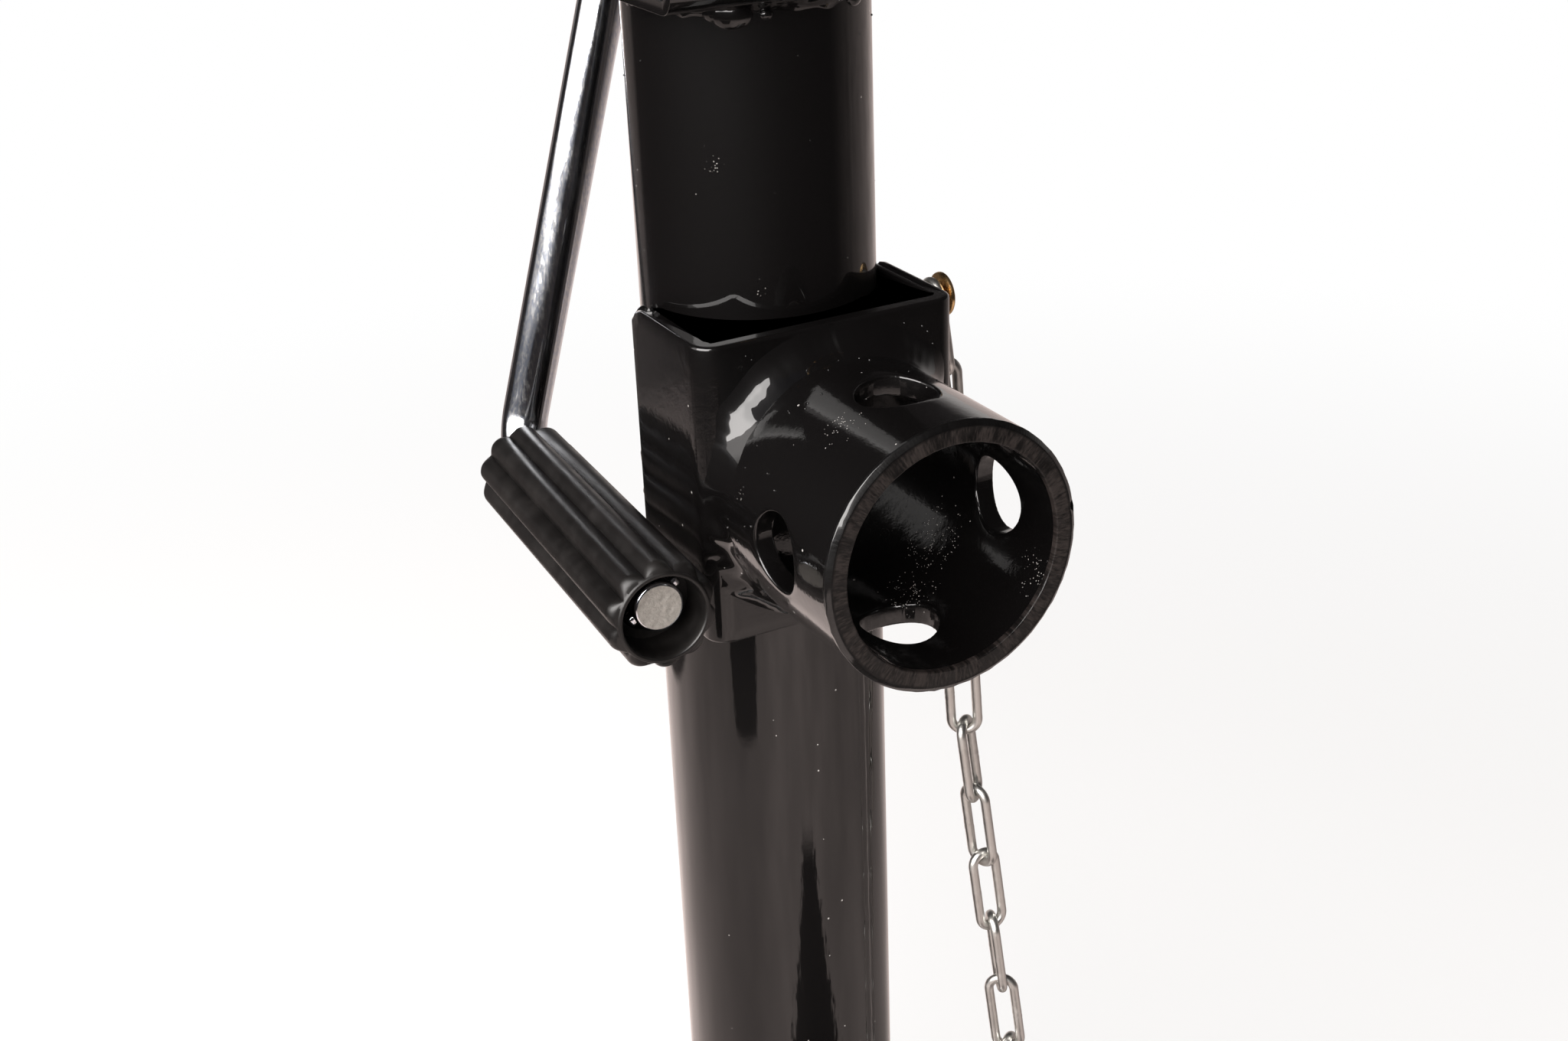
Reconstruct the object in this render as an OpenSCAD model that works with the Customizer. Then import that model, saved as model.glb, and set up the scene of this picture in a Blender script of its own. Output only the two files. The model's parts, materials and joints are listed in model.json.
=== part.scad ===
// Side-wind trailer tongue jack with a swivel pipe mount.
//
// Frame: the origin is at the middle of the foot plate's underside, +Z runs up the leg and -Y
// points out of the pipe mount. Lengths are in millimetres. The leg is drawn retracted and the
// crank is drawn stowed, with its grip turned in beside the tube.

/* [Leg] */
// Height of the pipe mount's axis above the ground with the leg retracted
mount_h = 335; // [330:5:380]
// Travel of the leg from retracted to extended
travel = 254; // [180:2:254]
// Outside diameter of the outer tube
tube_od = 57.15; // [54:0.05:68]
// Wall of the outer tube
tube_wall = 2.9; // [2.4:0.1:3.4]
// Radial play between the two tubes
tube_play = 0.25; // [0.1:0.05:0.6]
// Wall of the inner tube
leg_wall = 3; // [2.5:0.1:4]
// Ground clearance of the outer tube's lower end
tube_clear = 22; // [14:1:40]

/* [Foot] */
// Side of the square foot plate
foot_w = 112; // [100:1:150]
// Thickness of the foot plate
foot_t = 5; // [4:0.5:8]
// Corner radius of the foot plate
foot_r = 14; // [6:1:24]
// Leg of the weld around the inner tube
foot_bead = 4; // [3:0.5:6]

/* [Pipe mount] */
// Outside diameter of the mount tube
mount_od = 63; // [60:0.5:64]
// Wall of the mount tube
mount_wall = 5.1; // [4:0.1:7]
// Length of the mount tube in front of its bracket
mount_len = 51.4; // [45:0.2:70]
// Diameter of the four cross holes for the lock pin
lock_hole_d = 18.1; // [16.5:0.1:19]
// Distance from the mount's mouth to the cross holes
lock_hole_set = 23.7; // [18:0.1:28]
// Chamfer around the mouth
mouth_chamfer = 1.5; // [0.5:0.1:2.5]
// Leg of the weld around the root of the mount tube
mount_bead = 5.5; // [3:0.5:6]

/* [Bracket] */
// Sheet of the bracket
bracket_t = 4.8; // [4:0.1:6]
// Gap between the tube's sides and the bracket
bracket_play = 0.3; // [0.1:0.1:0.8]
// Gap between the tube's front and the bracket
bracket_front_play = 3.3; // [2:0.1:6]
// Height of the bracket above the mount's axis
bracket_up = 38.4; // [34:0.1:50]
// Depth of the bracket below the mount's axis
bracket_down = 35.6; // [34:0.1:50]
// Outside radius of the bracket's upright bends
bracket_bend = 5.5; // [5:0.1:7]
// Radius of the bracket's rear corners
bracket_corner = 4.5; // [2:0.1:8]

/* [Gear housing] */
// Height of the housing's underside above the mount's axis
housing_up = 110.5; // [95:0.5:130]
// Size of the housing along the shaft
housing_y = 73; // [73:0.5:90]
// Size of the housing across the shaft
housing_x = 71; // [71:0.5:90]
// Height of the housing from its underside to the top of its cover
housing_h = 62; // [60:0.5:80]
// Sheet of the housing
housing_t = 3; // [2:0.1:4]
// Outside radius of the housing's bends
housing_bend = 4.5; // [4:0.1:7]
// Sheet of the cover
cover_t = 1.5; // [1:0.1:2]
// Play between the cover's skirts and the housing's walls
cover_play = 0.2; // [0.1:0.05:0.5]
// Inset of the cover's skirts from the housing's open sides
cover_inset = 0.8; // [0:0.1:2]
// Thread diameter of the cover's screws
cover_screw_d = 5; // [4:1:6]
// Leg of the weld between the housing and the tube
housing_bead = 4.5; // [3:0.5:6]

/* [Gears] */
// Module of the bevel gears at their large end
gear_module = 2.5; // [2:0.25:2.5]
// Teeth of the gear on the crank shaft
drive_teeth = 12; // [11:1:12]
// Teeth of the gear on the screw
driven_teeth = 18; // [16:1:18]
// Face width of the teeth
gear_face = 8; // [6:0.5:9]
// Share of the tooth space left as backlash
gear_backlash = 0.1; // [0.06:0.01:0.16]

/* [Screw and bearing] */
// Outside diameter of the lifting screw
screw_d = 20; // [18:0.5:22]
// Diameter of the screw's upper journal
journal_d = 16; // [15:0.5:17]
// Height of the thrust bearing
bearing_h = 7; // [6:0.5:8]
// Thickness of the screw's collar under the bearing
collar_h = 4; // [3:0.5:5]
// Height of the gear's pitch circle above the housing's floor
gear_up = 13; // [12:0.5:15]
// Outside diameter of the thrust bearing
bearing_od = 38; // [36:1:44]
// Balls in the thrust bearing
ball_n = 12; // [8:1:14]
// Length of the lifting nut below its flange
nut_len = 20; // [14:1:30]
// Thickness of the lifting nut's flange
nut_flange = 4; // [3:0.5:6]
// Radial running clearance in the bores
run = 0.05; // [0.02:0.01:0.1]

/* [Crank] */
// Diameter of the crank shaft
shaft_d = 14; // [13:0.5:16]
// Diameter of the crank's rod
rod_d = 12; // [10:0.5:13]
// Radius of the crank, from the shaft to the grip
crank_len = 164.6; // [150:0.1:200]
// Distance from the housing's rear wall to the fold pin
pivot_out = 18; // [18:0.2:26]
// Diameter of the fold pin
fold_pin_d = 6; // [5:0.5:6.5]
// Thickness of the rod's flattened end
tang_t = 6; // [5:0.5:7]
// Centre-line radius of the rod's bend
rod_bend = 13; // [12:1:20]
// Length of rod from the arm's centre line to the free end
rod_reach = 102.5; // [90:0.1:130]
// Angle of the stowed crank from straight down
stow_angle = 16.2; // [16:0.1:30]
// Angle by which the grip toes out from the shaft's direction
grip_toe = 3.5; // [0:0.1:4]
// Outside diameter of the grip over its ribs
grip_d = 26.4; // [24:0.2:27]
// Ribs around the grip
grip_ribs = 10; // [8:1:12]
// Overhang of the grip past the rod's free end
grip_over = 4; // [1:0.5:8]
// Distance from the arm's centre line to the grip's rear end
grip_set = 8; // [8:0.5:14]
// Turn of the staked ears about the rod
ear_turn = 40; // [0:5:180]
// Bore of the grip
grip_bore = 14.6; // [14.4:0.1:16]
// Drop of the loose grip below the rod's centre line
grip_drop = 0.9; // [0:0.1:1]

/* [Chain and pin] */
// Wire of the chain
wire_d = 2.6; // [2:0.1:2.8]
// Inside length of a link
link_pitch = 20.6; // [18:0.05:24]
// Outside width of a link
link_w = 9.6; // [9.4:0.1:11]
// Gap left between links that hang in each other
link_gap = 0.15; // [0.05:0.05:0.3]
// Diameter of the rivet that holds the chain
rivet_d = 4; // [3:0.1:4.2]
// Diameter of the rivet's head
rivet_head_d = 10.8; // [9:0.1:12]
// Diameter of the lock pin
lock_pin_d = 15.8; // [14:0.1:16]
// Length of the lock pin's shank
lock_pin_len = 76; // [70:1:80]

/* [Hidden] */
$fn = 96;
eps = 0.01;
far = 400;

tube_r = tube_od / 2;
tube_ir = tube_r - tube_wall;
leg_r = tube_ir - tube_play;
leg_ir = leg_r - leg_wall;
leg_top_z = mount_h + housing_up - bearing_h - collar_h - nut_flange - 5;

bracket_in = tube_r + bracket_play;
bracket_x = bracket_in + bracket_t;
bracket_front_y = -(tube_r + bracket_front_play + bracket_t);
mouth_y = bracket_front_y - mount_len;
mount_r = mount_od / 2;
mount_ir = mount_r - mount_wall;
lock_hole_y = mouth_y + lock_hole_set;

floor_z = mount_h + housing_up;
floor_top = floor_z + housing_t;
cover_top = floor_z + housing_h;
wall_top = cover_top - cover_t;
wall_in = housing_y / 2 - housing_t;
skirt_x = housing_x / 2 - cover_inset;
tab_w = 9;
cover_screw_x = skirt_x - cover_t - tab_w / 2;

// bevel gears: both cones meet where the shaft's axis crosses the screw's axis
drive_r = gear_module * drive_teeth / 2;
driven_r = gear_module * driven_teeth / 2;
cone_r = sqrt(drive_r * drive_r + driven_r * driven_r);
drive_cone = atan2(drive_r, driven_r);
driven_cone = 90 - drive_cone;
gear_web = 3;
bush_r = shaft_d / 2 + 3;
screw_bush_r = journal_d / 2 + 3;
bush_flange = 2;
gear_back_z = floor_top + bush_flange + 0.1;
shaft_z = floor_top + gear_up + drive_r;
driven_hub_top = shaft_z - shaft_d / 2 - 4;
pressure_angle = 20;
drive_hub_r = shaft_d / 2 + 4.5;
drive_hub_y = driven_r + 7;
cross_pin_d = 4;
key_w = 4;

race_t = 1.6;
ball_d = bearing_h - 2 * race_t - 0.04;
ball_circle_r = (journal_d / 2 + bearing_od / 2) / 2 + 1;
race_ir = journal_d / 2 + 0.6;
bearing_low = floor_z - bearing_h;
collar_r = bearing_od / 2 - 2;
ring_t = 1.2;
groove_d = shaft_d - 1.4;

nut_top_z = leg_top_z + nut_flange;
screw_low_z = leg_top_z - nut_len - travel - 6;
collar_z = bearing_low - collar_h;
journal_top_z = driven_hub_top + 2.4;

pivot_y = housing_y / 2 + pivot_out;
tang_slot = tang_t + 0.3;
tine_flat = shaft_d / 2 - 0.8;
rivet_y = -21;
rivet_up = 33.5;
washer_t = 0.8;
rivet_seat_x = bracket_x + washer_t + wire_d + 1.45;
rivet_head_t = 1.8;

// the chain hangs from its rivet and swings a little outwards below the mount
chain_links = 12;
chain_bend_link = 6;
chain_first_dir = unit([0.13, -0.016, -1]);
chain_hang = [bracket_x + washer_t + wire_d / 2 + 0.5, rivet_y, mount_h + rivet_up + rivet_d / 2];
chain_upper_dir = unit([0.054, -0.016, -1]);
chain_lower_dir = unit([0.081, -0.103, -1]);
link_roll = [90, 162, 246, 332, 419, 507, 579, 649, 719, 789, 861, 936];
ring_r = 9.5;
ring_wire = 2.4;
ring_roll = 846;
pin_eye_r = 3;
pin_eye_t = 5;
eye_sag = ring_r - sqrt(ring_r * ring_r - pin_eye_t * pin_eye_t / 4);

function unit(v) = v / norm(v);
function link_dir(k) = k <= 1 ? chain_first_dir : k <= chain_bend_link ? chain_upper_dir : chain_lower_dir;
function chain_point(k) = k <= 0 ? chain_hang : chain_point(k - 1) + link_pitch * link_dir(k);

ring_top = chain_point(chain_links);
ring_mid = ring_top + [0, 0, -(ring_r - ring_wire / 2)];
eye_mid = ring_mid + [0, 0, -(ring_r - eye_sag + pin_eye_r - ring_wire / 2 - link_gap)];

// ---------------------------------------------------------------- leg and tubes

module pipe(r_out, r_in, z_low, z_high) {
    translate([0, 0, z_low])
        difference() {
            cylinder(r = r_out, h = z_high - z_low);
            translate([0, 0, -1]) cylinder(r = r_in, h = z_high - z_low + 2);
        }
}

module outer_tube() {
    color("#1b1b1c") pipe(tube_r, tube_ir, tube_clear, floor_z);
}

module inner_tube() {
    color("#9aa0a6") pipe(leg_r, leg_ir, foot_t, leg_top_z);
}

module lift_nut() {
    color("#8c7a55")
        difference() {
            union() {
                translate([0, 0, leg_top_z]) cylinder(r = leg_r, h = nut_flange);
                translate([0, 0, leg_top_z - nut_len]) cylinder(r = leg_ir - eps, h = nut_len);
            }
            translate([0, 0, leg_top_z - nut_len - 1])
                cylinder(r = screw_d / 2 + run, h = nut_len + nut_flange + 2);
        }
}

module foot_plate() {
    color("#9aa0a6")
        linear_extrude(foot_t) rounded_square(foot_w, foot_r);
}

module rounded_square(w, r) {
    square([w - 2 * r, w], center = true);
    square([w, w - 2 * r], center = true);
    for (sx = [-1, 1], sy = [-1, 1])
        translate([sx * (w / 2 - r), sy * (w / 2 - r)]) circle(r);
}

// a fillet weld around an upright tube, standing on the plane z = 0
module ring_bead(r, leg) {
    rotate_extrude()
        translate([r, 0]) polygon([[0, 0], [leg, 0], [leg * 0.62, leg * 0.55], [0, leg]]);
}

module foot_weld() {
    color("#8d8f91") translate([0, 0, foot_t]) ring_bead(leg_r, foot_bead);
}

// ---------------------------------------------------------------- bracket and pipe mount

module swivel_bracket() {
    color("#1a1a1b")
        difference() {
            intersection() {
                translate([0, 0, mount_h - bracket_down])
                    linear_extrude(bracket_up + bracket_down) bracket_outline();
                rotate([0, -90, 0])
                    linear_extrude(far, center = true) bracket_side();
            }
            translate([0, rivet_y, mount_h + rivet_up])
                rotate([0, 90, 0]) cylinder(d = rivet_d, h = far);
        }
}

// plan of the bent sheet: a channel that opens to the rear
module bracket_outline() {
    inner_bend = bracket_bend - bracket_t;
    difference() {
        front_rounded(bracket_x, bracket_front_y, bracket_bend);
        front_rounded(bracket_in, bracket_front_y + bracket_t, max(inner_bend, 0.4));
    }
}

module front_rounded(half_x, front_y, r) {
    translate([-half_x, front_y + r]) square([2 * half_x, -front_y - r]);
    translate([-half_x + r, front_y]) square([2 * half_x - 2 * r, r + eps]);
    for (s = [-1, 1])
        translate([s * (half_x - r), front_y + r]) circle(r);
}

// side view of the bracket, with x up and y to the rear
module bracket_side() {
    low = mount_h - bracket_down;
    high = mount_h + bracket_up;
    translate([low, -far]) square([high - low, far - bracket_corner]);
    translate([low + bracket_corner, -bracket_corner - eps])
        square([high - low - 2 * bracket_corner, bracket_corner + eps]);
    for (z = [low + bracket_corner, high - bracket_corner])
        translate([z, -bracket_corner]) circle(bracket_corner);
}

// a bead runs up the tube behind each side of the bracket
module bracket_welds() {
    bead_r = bracket_t * 0.85;
    color("#18181a")
        for (s = [-1, 1])
            translate([0, 0, mount_h - bracket_down + bracket_corner])
                linear_extrude(bracket_up + bracket_down - 2 * bracket_corner)
                    difference() {
                        translate([s * (bracket_in + bracket_t * 0.35), 0]) circle(bead_r);
                        circle(tube_r);
                        translate([-far / 2, -far]) square([far, far]);
                    }
}

module pipe_mount() {
    color("#161617")
        difference() {
            translate([0, bracket_front_y, mount_h]) rotate([90, 0, 0]) rotate([0, 0, 45]) mount_tube();
            for (turn = [0, 90])
                translate([0, lock_hole_y, mount_h]) rotate([0, turn, 0])
                    cylinder(d = lock_hole_d, h = far, center = true);
        }
}

module mount_tube() {
    c = mouth_chamfer;
    rotate_extrude()
        polygon([
            [mount_ir, 0], [mount_r, 0], [mount_r, mount_len - c], [mount_r - c, mount_len],
            [mount_ir + c / 3, mount_len], [mount_ir, mount_len - c / 3]
        ]);
}

// the bead also fills the room behind the mount tube where the bracket's bends curve away
module mount_weld() {
    color("#141415")
        difference() {
            intersection() {
                translate([0, bracket_front_y, mount_h]) rotate([90, 0, 0]) {
                    ring_bead(mount_r, mount_bead);
                    translate([0, 0, -bracket_bend]) cylinder(r = mount_r + mount_bead * 0.6, h = bracket_bend);
                }
                translate([-bracket_x + 0.4, -far, mount_h - bracket_down + eps])
                    cube([2 * bracket_x - 0.8, far, bracket_up + bracket_down - 2 * eps]);
            }
            translate([0, 0, mount_h - bracket_down - 1])
                linear_extrude(bracket_up + bracket_down + 2)
                    front_rounded(bracket_x, bracket_front_y, bracket_bend);
        }
}

// ---------------------------------------------------------------- gear housing

// the housing is one sheet: front wall, floor and rear wall, open at both sides
module gear_housing() {
    color("#171718")
        difference() {
            rotate([90, 0, 90])
                linear_extrude(housing_x, center = true) housing_outline();
            translate([0, 0, floor_z - 1]) cylinder(r = screw_bush_r, h = housing_t + 2);
            translate([0, 0, shaft_z]) rotate([90, 0, 0])
                cylinder(r = bush_r, h = far, center = true);
            cover_screw_holes(cover_screw_d + 0.4);
        }
}

module housing_outline() {
    difference() {
        bottom_rounded(housing_y / 2, floor_z, housing_bend);
        bottom_rounded(wall_in, floor_top, housing_bend - housing_t);
    }
}

module bottom_rounded(half_y, low_z, r) {
    translate([-half_y, low_z + r]) square([2 * half_y, wall_top - low_z - r]);
    translate([-half_y + r, low_z]) square([2 * half_y - 2 * r, r + eps]);
    for (s = [-1, 1])
        translate([s * (half_y - r), low_z + r]) circle(r);
}

module cover_screw_holes(d) {
    for (sx = [-1, 1])
        translate([sx * cover_screw_x, 0, shaft_z]) rotate([90, 0, 0])
            cylinder(d = d, h = far, center = true);
}

// the cover is a cap with two skirts, and each skirt has a tab behind either wall
module gear_cover() {
    skirt_y = wall_in - cover_play;
    skirt_low = floor_top + housing_bend - housing_t;
    color("#c9ccd0") {
        translate([-housing_x / 2, -housing_y / 2, wall_top])
            cube([housing_x, housing_y, cover_t]);
        difference() {
            for (s = [-1, 1]) {
                translate([s > 0 ? skirt_x - cover_t : -skirt_x, -skirt_y, skirt_low])
                    cube([cover_t, 2 * skirt_y, wall_top - skirt_low + eps]);
                for (t = [-1, 1])
                    translate([
                        s > 0 ? skirt_x - cover_t - tab_w : -skirt_x + cover_t,
                        t > 0 ? skirt_y - cover_t : -skirt_y,
                        skirt_low
                    ])
                        cube([tab_w + eps, cover_t, wall_top - skirt_low + eps]);
            }
            cover_screw_holes(cover_screw_d);
        }
    }
}

module cover_screws() {
    shank = housing_t + cover_play + cover_t + 2;
    color("#c8b86a")
        for (sx = [-1, 1], sy = [-1, 1])
            translate([sx * cover_screw_x, sy * housing_y / 2, shaft_z])
                rotate([sy > 0 ? 90 : -90, 0, 0]) {
                    cylinder(d = cover_screw_d, h = shank);
                    translate([0, 0, -2.4])
                        difference() {
                            cylinder(d1 = cover_screw_d * 1.5, d2 = cover_screw_d * 1.9, h = 2.4);
                            translate([0, 0, -1]) cylinder(d = cover_screw_d * 0.7, h = 2.4, $fn = 6);
                        }
                }
}

module housing_weld() {
    color("#141415")
        translate([0, 0, floor_z]) mirror([0, 0, 1]) ring_bead(tube_r, housing_bead);
}

module bushing(side) {
    translate([0, side * wall_in, shaft_z]) rotate([side > 0 ? -90 : 90, 0, 0])
        difference() {
            union() {
                cylinder(r = bush_r, h = housing_t);
                translate([0, 0, housing_t]) cylinder(r = bush_r + 3, h = bush_flange);
            }
            translate([0, 0, -1]) cylinder(r = shaft_d / 2 + run, h = housing_t + bush_flange + 2);
        }
}

module front_bushing() { color("#a58a4a") bushing(-1); }
module rear_bushing() { color("#a58a4a") bushing(1); }

// ---------------------------------------------------------------- shaft, gears and screw

// distance from the middle to the inner face of either retaining ring
ring_y = housing_y / 2 + bush_flange + 0.1;

module crank_shaft() {
    front_y = -(ring_y + ring_t + 2);
    end_y = pivot_y + shaft_d / 2 - 0.5;
    color("#b9bcc0")
        difference() {
            translate([0, front_y, shaft_z]) rotate([-90, 0, 0])
                cylinder(d = shaft_d, h = end_y - front_y);
            for (s = [-1, 1])
                translate([0, s * (ring_y + ring_t / 2), shaft_z]) rotate([90, 0, 0])
                    pipe(shaft_d, groove_d / 2, -ring_t / 2, ring_t / 2);
            translate([0, -drive_hub_y + 3.2, shaft_z])
                cylinder(d = cross_pin_d, h = far, center = true);
            translate([0, pivot_y, shaft_z]) rotate([0, stow_angle, 0]) fork_cuts();
        }
}

// the slot for the rod's tang, the flats beside it and the fold pin's hole
module fork_cuts() {
    translate([-tang_slot / 2, -shaft_d / 2 - 0.5, -shaft_d])
        cube([tang_slot, far, 2 * shaft_d]);
    for (s = [-1, 1])
        translate([s > 0 ? tine_flat : -tine_flat - shaft_d, -shaft_d / 2 - 0.5, -shaft_d])
            cube([shaft_d, far, 2 * shaft_d]);
    rotate([0, 90, 0]) cylinder(d = fold_pin_d, h = far, center = true);
}

module shaft_rings() {
    color("#3c3d40")
        for (s = [-1, 1])
            translate([0, s * (ring_y + ring_t / 2), shaft_z]) rotate([90, 0, 0])
                pipe(shaft_d / 2 + 2.6, groove_d / 2, -ring_t / 2, ring_t / 2);
}

// involute function, in degrees
function inv(a) = tan(a) * 180 / PI - a;

// half of a tooth's angle on the flattened back cone of radius rb, at the radius rho
function half_angle(rb, thick, rho) =
    thick / 2 / rb * 180 / PI + inv(pressure_angle)
    - inv(acos(min(1, rb * cos(pressure_angle) / rho)));

// one point of a bevel gear about the +Z axis, whose cone's tip is at the origin
function back_cone_point(cone, rho, angle, scale) = [
    scale * rho * cos(cone) * cos(angle / cos(cone)),
    scale * rho * cos(cone) * sin(angle / cos(cone)),
    scale * (cone_r / cos(cone) - rho * sin(cone))
];

// a toothed cone: one ring of points at the large end, one at the small end and a tip to each cap
module toothed_cone(teeth, cone, addendum, dedendum, thick, offset_angle) {
    rb = cone_r * tan(cone);
    heights = [-dedendum, -dedendum * 0.5, 0, addendum * 0.5, addendum];
    flank = [for (h = heights) [rb + h, max(half_angle(rb, thick, rb + h), 0.4)]];
    n = len(heights);
    profile = [
        for (i = [0 : n - 1]) [flank[i][0], -flank[i][1]],
        for (i = [n - 1 : -1 : 0]) [flank[i][0], flank[i][1]]
    ];
    small = (cone_r - gear_face) / cone_r;
    core = rb - dedendum - 0.1;
    // four rings: the core and the teeth at the large end, the teeth and the core at the small end
    ring = [
        for (s = [[1, true], [1, false], [small, false], [small, true]])
            for (t = [0 : teeth - 1], p = profile)
                back_cone_point(cone, s[1] ? core : p[0],
                    p[1] + (360 * t / teeth + offset_angle) * cos(cone), s[0])
    ];
    count = teeth * len(profile);
    core_axial = cone_r / cos(cone) - core * sin(cone);
    points = concat(ring, [[0, 0, core_axial], [0, 0, small * core_axial]]);
    sides = [
        for (r = [0 : 2], i = [0 : count - 1])
            [i + r * count, (i + 1) % count + r * count, (i + 1) % count + (r + 1) * count, i + (r + 1) * count]
    ];
    big_cap = [for (i = [0 : count - 1]) [(i + 1) % count, i, 4 * count]];
    small_cap = [for (i = [0 : count - 1]) [i + 3 * count, (i + 1) % count + 3 * count, 4 * count + 1]];
    polyhedron(points, concat(sides, big_cap, small_cap), convexity = 8);
}

tooth_thick = PI * gear_module / 2 * (1 - gear_backlash);
tooth_shift = 0.2 * gear_module;
driven_core = cone_r * tan(driven_cone) - 1.15 * gear_module - tooth_shift - 0.1;
driven_back = cone_r / cos(driven_cone) - driven_core * sin(driven_cone);

module drive_bevel() {
    color("#8f9296")
        translate([0, 0, shaft_z]) rotate([90, 0, 0])
            difference() {
                union() {
                    toothed_cone(drive_teeth, drive_cone, 0.8 * gear_module + tooth_shift,
                        1.15 * gear_module - tooth_shift, tooth_thick + tooth_shift * 0.5, -90);
                    translate([0, 0, driven_r - 1]) cylinder(r = drive_hub_r, h = drive_hub_y - driven_r + 1);
                }
                translate([0, 0, -1]) cylinder(d = shaft_d, h = drive_hub_y + 2);
                translate([0, 0, drive_hub_y - 3.2]) rotate([90, 0, 0])
                    cylinder(d = cross_pin_d, h = far, center = true);
            }
}

module drive_bevel_pin() {
    color("#5d5f63")
        translate([0, -drive_hub_y + 3.2, shaft_z])
            cylinder(d = cross_pin_d, h = 2 * drive_hub_r - 0.6, center = true);
}

module driven_bevel() {
    color("#8f9296")
        difference() {
            union() {
                translate([0, 0, shaft_z]) mirror([0, 0, 1])
                    toothed_cone(driven_teeth, driven_cone, 0.8 * gear_module - tooth_shift,
                        1.15 * gear_module + tooth_shift, tooth_thick - tooth_shift * 0.5,
                        -90 + 180 / driven_teeth);
                translate([0, 0, shaft_z - driven_back - gear_web]) cylinder(r = driven_r - 3, h = gear_web + 0.1);
                translate([0, 0, gear_back_z]) cylinder(r = journal_d / 2 + 4, h = driven_hub_top - gear_back_z);
            }
            translate([0, 0, gear_back_z - 1]) cylinder(d = journal_d, h = far);
            key_slot(gear_back_z - 1, far);
        }
}

module key_slot(z_low, h) {
    translate([journal_d / 2 - key_w / 2, -key_w / 2, z_low]) cube([key_w, key_w, h]);
}

module screw_key() {
    color("#5d5f63") key_slot(gear_back_z, driven_hub_top - gear_back_z);
}

module lift_screw() {
    groove_z = driven_hub_top + ring_t / 2;
    color("#7f8286")
        difference() {
            union() {
                translate([0, 0, screw_low_z + 2]) cylinder(d = screw_d, h = collar_z - screw_low_z - 2);
                translate([0, 0, screw_low_z]) cylinder(d1 = screw_d - 4, d2 = screw_d, h = 2);
                translate([0, 0, collar_z]) cylinder(r = collar_r, h = collar_h);
                translate([0, 0, bearing_low]) cylinder(d = journal_d, h = journal_top_z - bearing_low);
            }
            translate([0, 0, groove_z]) pipe(journal_d, journal_d / 2 - 0.7, -ring_t / 2, ring_t / 2);
            key_slot(gear_back_z, driven_hub_top - gear_back_z);
        }
}

module screw_ring() {
    color("#3c3d40")
        translate([0, 0, driven_hub_top + ring_t / 2])
            pipe(journal_d / 2 + 2.4, journal_d / 2 - 0.7, -ring_t / 2, ring_t / 2);
}

// the screw pushes up against the housing's floor through the bearing and its collar
module thrust_race_upper() {
    color("#b4b7bb") pipe(bearing_od / 2, race_ir, floor_z - race_t, floor_z);
}

module thrust_race_lower() {
    color("#b4b7bb") pipe(bearing_od / 2, journal_d / 2, bearing_low, bearing_low + race_t);
}

module screw_bushing() {
    color("#a58a4a") {
        pipe(screw_bush_r, journal_d / 2 + run, floor_z, floor_top + bush_flange);
        pipe(screw_bush_r + 3, screw_bush_r, floor_top, floor_top + bush_flange);
    }
}

module ball_places() {
    for (i = [0 : ball_n - 1])
        rotate([0, 0, 360 * i / ball_n])
            translate([ball_circle_r, 0, floor_z - bearing_h / 2]) children();
}

module ball_cage() {
    mid = floor_z - bearing_h / 2;
    color("#a58a4a")
        difference() {
            pipe(bearing_od / 2 - 0.8, race_ir + 0.4, mid - 0.7, mid + 0.7);
            ball_places() cylinder(d = ball_d + 0.1, h = 4, center = true);
        }
}

module thrust_balls() {
    color("#d5d7da") ball_places() sphere(d = ball_d);
}

// ---------------------------------------------------------------- crank

// places the crank: pivot at the origin, arm down -Z, then turned to its stowed angle
module stowed() {
    translate([0, pivot_y, shaft_z]) rotate([0, stow_angle, 0]) children();
}

module crank_arm() {
    tang_end = shaft_d / 2 + 4;
    tang_w = rod_d + 0.8;
    color("#c6cacf")
        stowed() difference() {
            union() {
                rotate([0, 90, 0]) cylinder(d = tang_w, h = tang_t, center = true);
                translate([-tang_t / 2, -tang_w / 2, -tang_end - 4]) cube([tang_t, tang_w, tang_end + 4]);
                rotate([0, 0, -grip_toe]) {
                    translate([0, 0, -crank_len + rod_bend]) cylinder(d = rod_d, h = crank_len - rod_bend - tang_end - 2);
                    translate([0, 0, -tang_end - 2]) cylinder(d1 = rod_d, d2 = rod_d - 5, h = 2);
                    rod_corner();
                    translate([0, -rod_bend, -crank_len]) rotate([90, 0, 0])
                        cylinder(d = rod_d, h = rod_reach - rod_bend);
                    rod_ears();
                }
            }
            rotate([0, 90, 0]) cylinder(d = fold_pin_d + 2 * run, h = far, center = true);
        }
}

module rod_corner() {
    translate([0, -rod_bend, -crank_len + rod_bend]) rotate([0, 90, 0])
        rotate_extrude(angle = 90) translate([rod_bend, 0]) circle(d = rod_d);
}

// two ears, pinched out of the rod, keep the grip on
module rod_ears() {
    ear_w = grip_bore + 0.6;
    translate([0, -rod_reach + 3, -crank_len]) rotate([0, ear_turn, 0])
        translate([-1.5, 0, -ear_w / 2]) cube([3, 3, ear_w]);
}

module fold_pin() {
    color("#b9a862")
        stowed() rotate([0, 90, 0]) {
            cylinder(d = fold_pin_d, h = 2 * tine_flat + 2, center = true);
            for (s = [-1, 1])
                translate([0, 0, s > 0 ? tine_flat : -tine_flat - 2]) cylinder(d = fold_pin_d + 4, h = 2);
        }
}

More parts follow.
